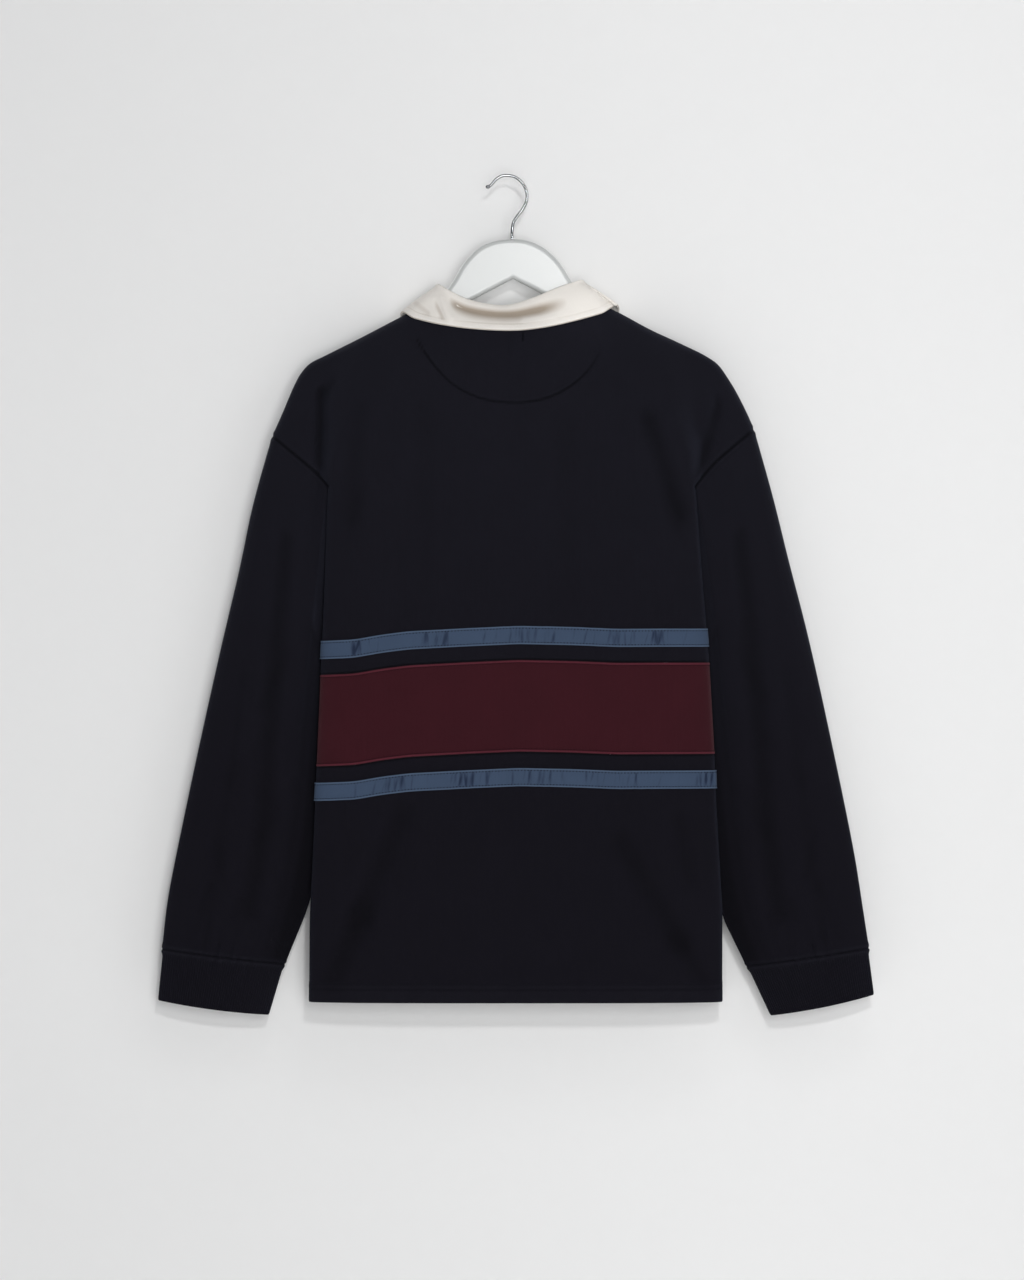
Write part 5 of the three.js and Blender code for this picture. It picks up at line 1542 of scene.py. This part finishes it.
# %% [markdown]
# The hanger is one flat piece of wood with rounded edges, sprayed white. A filled 2D curve with a
# round bevel is the natural way in Blender: the outline gives the shape and the bevel rounds every
# edge by the same amount. It is turned into a mesh at once, so that the piece is a plain mesh.

# %% Hanger
hanger_depth, hanger_bevel, hanger_drop = 11.0, 4.5, 2.5
crown_points = [(-69.0, -127.2), (-54.9, -108.7), (-43.3, -89.1), (-27.3, -73.2), (-11.5, -66.4),
                (6.2, -64.4), (23.7, -66.4), (41.2, -75.2), (55.6, -89.1), (67.0, -107.6), (77.2, -125.6)]
apex_x, apex_z, under_slope, under_left, under_right = 7.2, -105.2, 0.52, -201, 213


def hanger_outline():
    sides = {}
    for side in (LEFT, RIGHT):
        spots = along(shoulders[side], np.linspace(0.03, 0.61, 22))
        out_x, out_z = ridge_distance(spots[:, 0], spots[:, 1])[1:3]
        sides[side] = spots - hanger_drop * np.stack([out_x, out_z], -1)
    crown = along(round_line(crown_points), np.linspace(0, 1, 44))
    under_x = (under_right, under_right - 9, under_right - 60, 110, 60, 25, apex_x, -10, -45, -95,
               under_left + 60, under_left + 9, under_left)
    under = [(x, apex_z - under_slope * abs(x - apex_x)) for x in under_x]
    return np.vstack([sides[LEFT][::-1], crown, sides[RIGHT], under])


def keep_mesh(piece, name, finish, sharp):
    """Replaces a curve object by the mesh it makes."""
    mesh = bpy.data.meshes.new_from_object(piece.evaluated_get(bpy.context.evaluated_depsgraph_get()))
    bpy.data.objects.remove(piece)
    mesh.materials.clear()
    mesh.materials.append(finish)
    mesh.shade_smooth()
    mesh.set_sharp_from_angle(angle=math.radians(sharp))
    made = bpy.data.objects.new(name, mesh)
    bpy.context.scene.collection.objects.link(made)
    return made


outline = hanger_outline()
curve = bpy.data.curves.new("hanger_outline", "CURVE")
curve.dimensions, curve.fill_mode = "2D", "BOTH"
curve.extrude = (hanger_depth / 2 - hanger_bevel) * MM
curve.bevel_depth, curve.offset, curve.bevel_resolution = hanger_bevel * MM, -hanger_bevel * MM, 6
spline = curve.splines.new("POLY")
spline.points.add(len(outline) - 1)
for point, (x, z) in zip(spline.points, outline):
    point.co = (x * MM, z * MM, 0, 1)
spline.use_cyclic_u = True
drawn = bpy.data.objects.new("hanger_drawn", curve)
bpy.context.scene.collection.objects.link(drawn)
hanger = keep_mesh(drawn, "hanger_wood", lacquer, 40)
flat = np.empty(len(hanger.data.vertices) * 3, np.float32)
hanger.data.vertices.foreach_get("co", flat)
flat = flat.reshape(-1, 3)
hanger.data.vertices.foreach_set("co", np.stack([flat[:, 0], -flat[:, 2], flat[:, 1]], -1).ravel())
hanger.data.update()
dress(hanger, "hanger")
print("hanger polygons", len(hanger.data.polygons))

# %% [markdown]
# The hook is one bent wire, 3 mm thick, with a rounded tip so that it does not scratch. A tube is
# swept along a rounded line, and its end rings shrink in a half circle to close it.

# %% Hook
wire_radius, tip_radius = 1.5, 1.9
hook_points = [(-21.0, -9.9), (-18.2, -10.3), (-15.2, -8.2), (-10.6, -3.0), (-5.4, 0.4), (0.0, 1.5),
               (8.2, 0.2), (14.8, -4.2), (19.6, -10.9), (21.6, -18.0), (20.8, -26.0), (16.7, -34.0),
               (11.3, -41.0), (7.7, -47.2), (6.4, -53.5), (6.2, -66.0)]
hook_line = round_line(hook_points)
hook_length = np.linalg.norm(np.diff(hook_line[0], axis=0), axis=1).sum()
wire_sides = 20


def swept(centres, radii, sides):
    """A tube in the hanging plane round centres, closed where its radius is 0."""
    way = np.gradient(centres, axis=0)
    way /= np.linalg.norm(way, axis=1, keepdims=True)
    across = np.stack([-way[:, 1], way[:, 0]], -1)
    turns = np.arange(sides) / sides * 2 * math.pi
    flat = centres[:, None] + across[:, None] * (radii[:, None] * np.cos(turns))[..., None]
    y = radii[:, None] * np.sin(turns)
    grid = np.stack([flat[..., 0], y, flat[..., 1]], -1)
    points, faces = grid.reshape(-1, 3), grid_faces(numbered(len(centres), sides, closed=True))
    return points, faces if volume(points, faces) > 0 else faces[:, ::-1]


cap = np.linspace(0, math.pi / 2, 9)
tip_shares = (1 - np.cos(cap)) * tip_radius / hook_length
body_shares = np.linspace(tip_shares[-1], 1, 190)[1:]
radii = np.concatenate([np.maximum(np.sin(cap), 0.02) * tip_radius,
                        mix(tip_radius, wire_radius, smooth(body_shares * hook_length, 2.6, 4.6)), [0.03]])
shares = np.concatenate([tip_shares, body_shares, [1.0]])
centres = along(hook_line, shares)
centres[-1, 1] -= 0.01
points, faces = swept(centres, radii, wire_sides)
dress(make_piece("hook_wire", points, faces, chrome, sharp=70), "hook")
print("hook wire", round(float(hook_length)), "mm long")

# %% [markdown]
# The shirt is this wide: a chest of 43 cm laid flat, sleeves of 54 cm, cuffs 23 cm round. Only what
# shows is counted, so a hem's turn-up and the seams' allowances are left out.

# %% [markdown]
# The studio is plain: a pale wall close behind the shirt and a pale floor. The wall is painted a
# little lighter to the right, as painted light. Its far side lets light and view through, so that the
# shirt's front can be seen too.

# %% Wall and floor
def stage_finish(name, colour, is_wall):
    made, tree, shader = new_finish(name)
    where = place(tree, "TexCoord").outputs["Object"]
    paper = place(tree, "TexNoise", {"Vector": where, "Scale": 60.0, "Detail": 3.0}).outputs[0]
    gain = calc(tree, "MULTIPLY_ADD", paper, 0.012, 0.994)
    if is_wall:
        # painted light: the wall is painted lighter to the right
        gain = calc(tree, "MULTIPLY", gain, painted_wall_light(tree, where))
    tree.links.new(scaled_colour(tree, colour, gain), shader.inputs["Base Color"])
    shader.inputs["Roughness"].default_value = 0.95
    shader.inputs["Specular IOR Level"].default_value = 0.1
    if is_wall:
        clear = place(tree, "BsdfTransparent").outputs[0]
        behind = place(tree, "NewGeometry").outputs["Backfacing"]
        shadow_ray = place(tree, "LightPath").outputs["Is Shadow Ray"]
        open_share = calc(tree, "MAXIMUM", behind, shadow_ray)
        either = place(tree, "MixShader", [open_share, shader.outputs[0], clear]).outputs[0]
        tree.links.new(either, tree.nodes["Material Output"].inputs["Surface"])
    return made


def painted_wall_light(tree, where):
    """Painted light on the wall: a little lighter from left to right, and very slightly darker towards the
    bottom.
    """
    spot = place(tree, "SeparateXYZ", [where]).outputs
    across = place(tree, "MapRange", {"Value": spot[0], "From Min": -0.45, "From Max": 0.45, "To Min": 0.95,
                                      "To Max": 1.02}, interpolation_type="SMOOTHSTEP").outputs[0]
    down = place(tree, "MapRange", {"Value": spot[2], "From Min": 0.1, "From Max": -1.1, "To Min": 0.97,
                                    "To Max": 0.968}).outputs[0]
    return calc(tree, "MULTIPLY", across, down)


wall_y, floor_z, wall_width, wall_top = 46.0, -1300.0, 9000.0, 3200.0
wall_points = np.array([(-wall_width, wall_y, floor_z), (wall_width, wall_y, floor_z),
                        (wall_width, wall_y, wall_top), (-wall_width, wall_y, wall_top)])
quad = np.array([[0, 1, 2, 3]])
pale_wall = stage_finish("pale_wall", (0.87, 0.87, 0.867), True)
wall = make_piece("studio_wall", wall_points, quad, pale_wall)
floor_points = np.array([(-wall_width, -wall_width, floor_z), (wall_width, -wall_width, floor_z),
                         (wall_width, wall_width, floor_z), (-wall_width, wall_width, floor_z)])
pale_floor = stage_finish("pale_floor", (0.80, 0.80, 0.80), False)
floor = make_piece("studio_floor", floor_points, quad, pale_floor)
print("the wall stands", wall_y, "mm behind the hook")

# %% [markdown]
# The light is soft and comes from in front. The key light stands near the camera, a little up and to
# the right, which drops a faint shadow to the lower left, as on the hook. A narrow lamp brings out
# the collar's right side, and two lamps on the far side light the shirt's front.

# %% Light
world = bpy.data.worlds.new("studio_air")
world.use_nodes = True
world.node_tree.nodes["Background"].inputs["Color"].default_value = (0.93, 0.95, 1.0, 1)
world.node_tree.nodes["Background"].inputs["Strength"].default_value = 0.14
bpy.context.scene.world = world


def hang_lamp(name, kind, spot, aim, power):
    """A lamp at spot, turned to shine on aim, both in metres."""
    data = bpy.data.lights.new(name, kind)
    data.energy = power
    lamp = bpy.data.objects.new(name, data)
    lamp.location = spot
    toward = np.array(aim, float) - spot
    yaw = math.atan2(toward[1], toward[0]) - math.pi / 2
    pitch = math.atan2(toward[2], math.hypot(toward[0], toward[1])) + math.pi / 2
    lamp.rotation_euler = (pitch, 0, yaw)
    bpy.context.scene.collection.objects.link(lamp)
    return data


shirt_middle, collar_right = (0, 0, -0.5), (0.09, -0.04, -0.125)
# name, place and size in metres, power in watts
softboxes = [
    ("key_light", (0.25, -3.4, 0.42), (0.18, 0.18), 22),
    ("front_softbox", (0.3, -3.6, -0.5), (1.1, 1.1), 55),
    ("top_softbox", (0.5, -1.9, 1.7), (1.4, 0.8), 6),
    ("right_fill", (2.6, -2.4, 0.9), (1.2, 1.6), 8),
    ("far_left", (-1.3, 2.6, 0.9), (1.4, 1.4), 36),
    ("far_right", (1.5, 2.4, 0.6), (1.4, 1.4), 24),
]
for name, spot, (width, height), power in softboxes:
    box = hang_lamp(name, "AREA", spot, shirt_middle, power)
    box.shape, box.size, box.size_y = "RECTANGLE", width, height
narrow_lamp = hang_lamp("collar_lamp", "SPOT", (0.62, -0.85, 0.5), collar_right, 14)
narrow_lamp.spot_size, narrow_lamp.spot_blend = math.radians(4.6), 1.0
narrow_lamp.shadow_soft_size = 0.02
bpy.context.scene.view_settings.view_transform = "Standard"
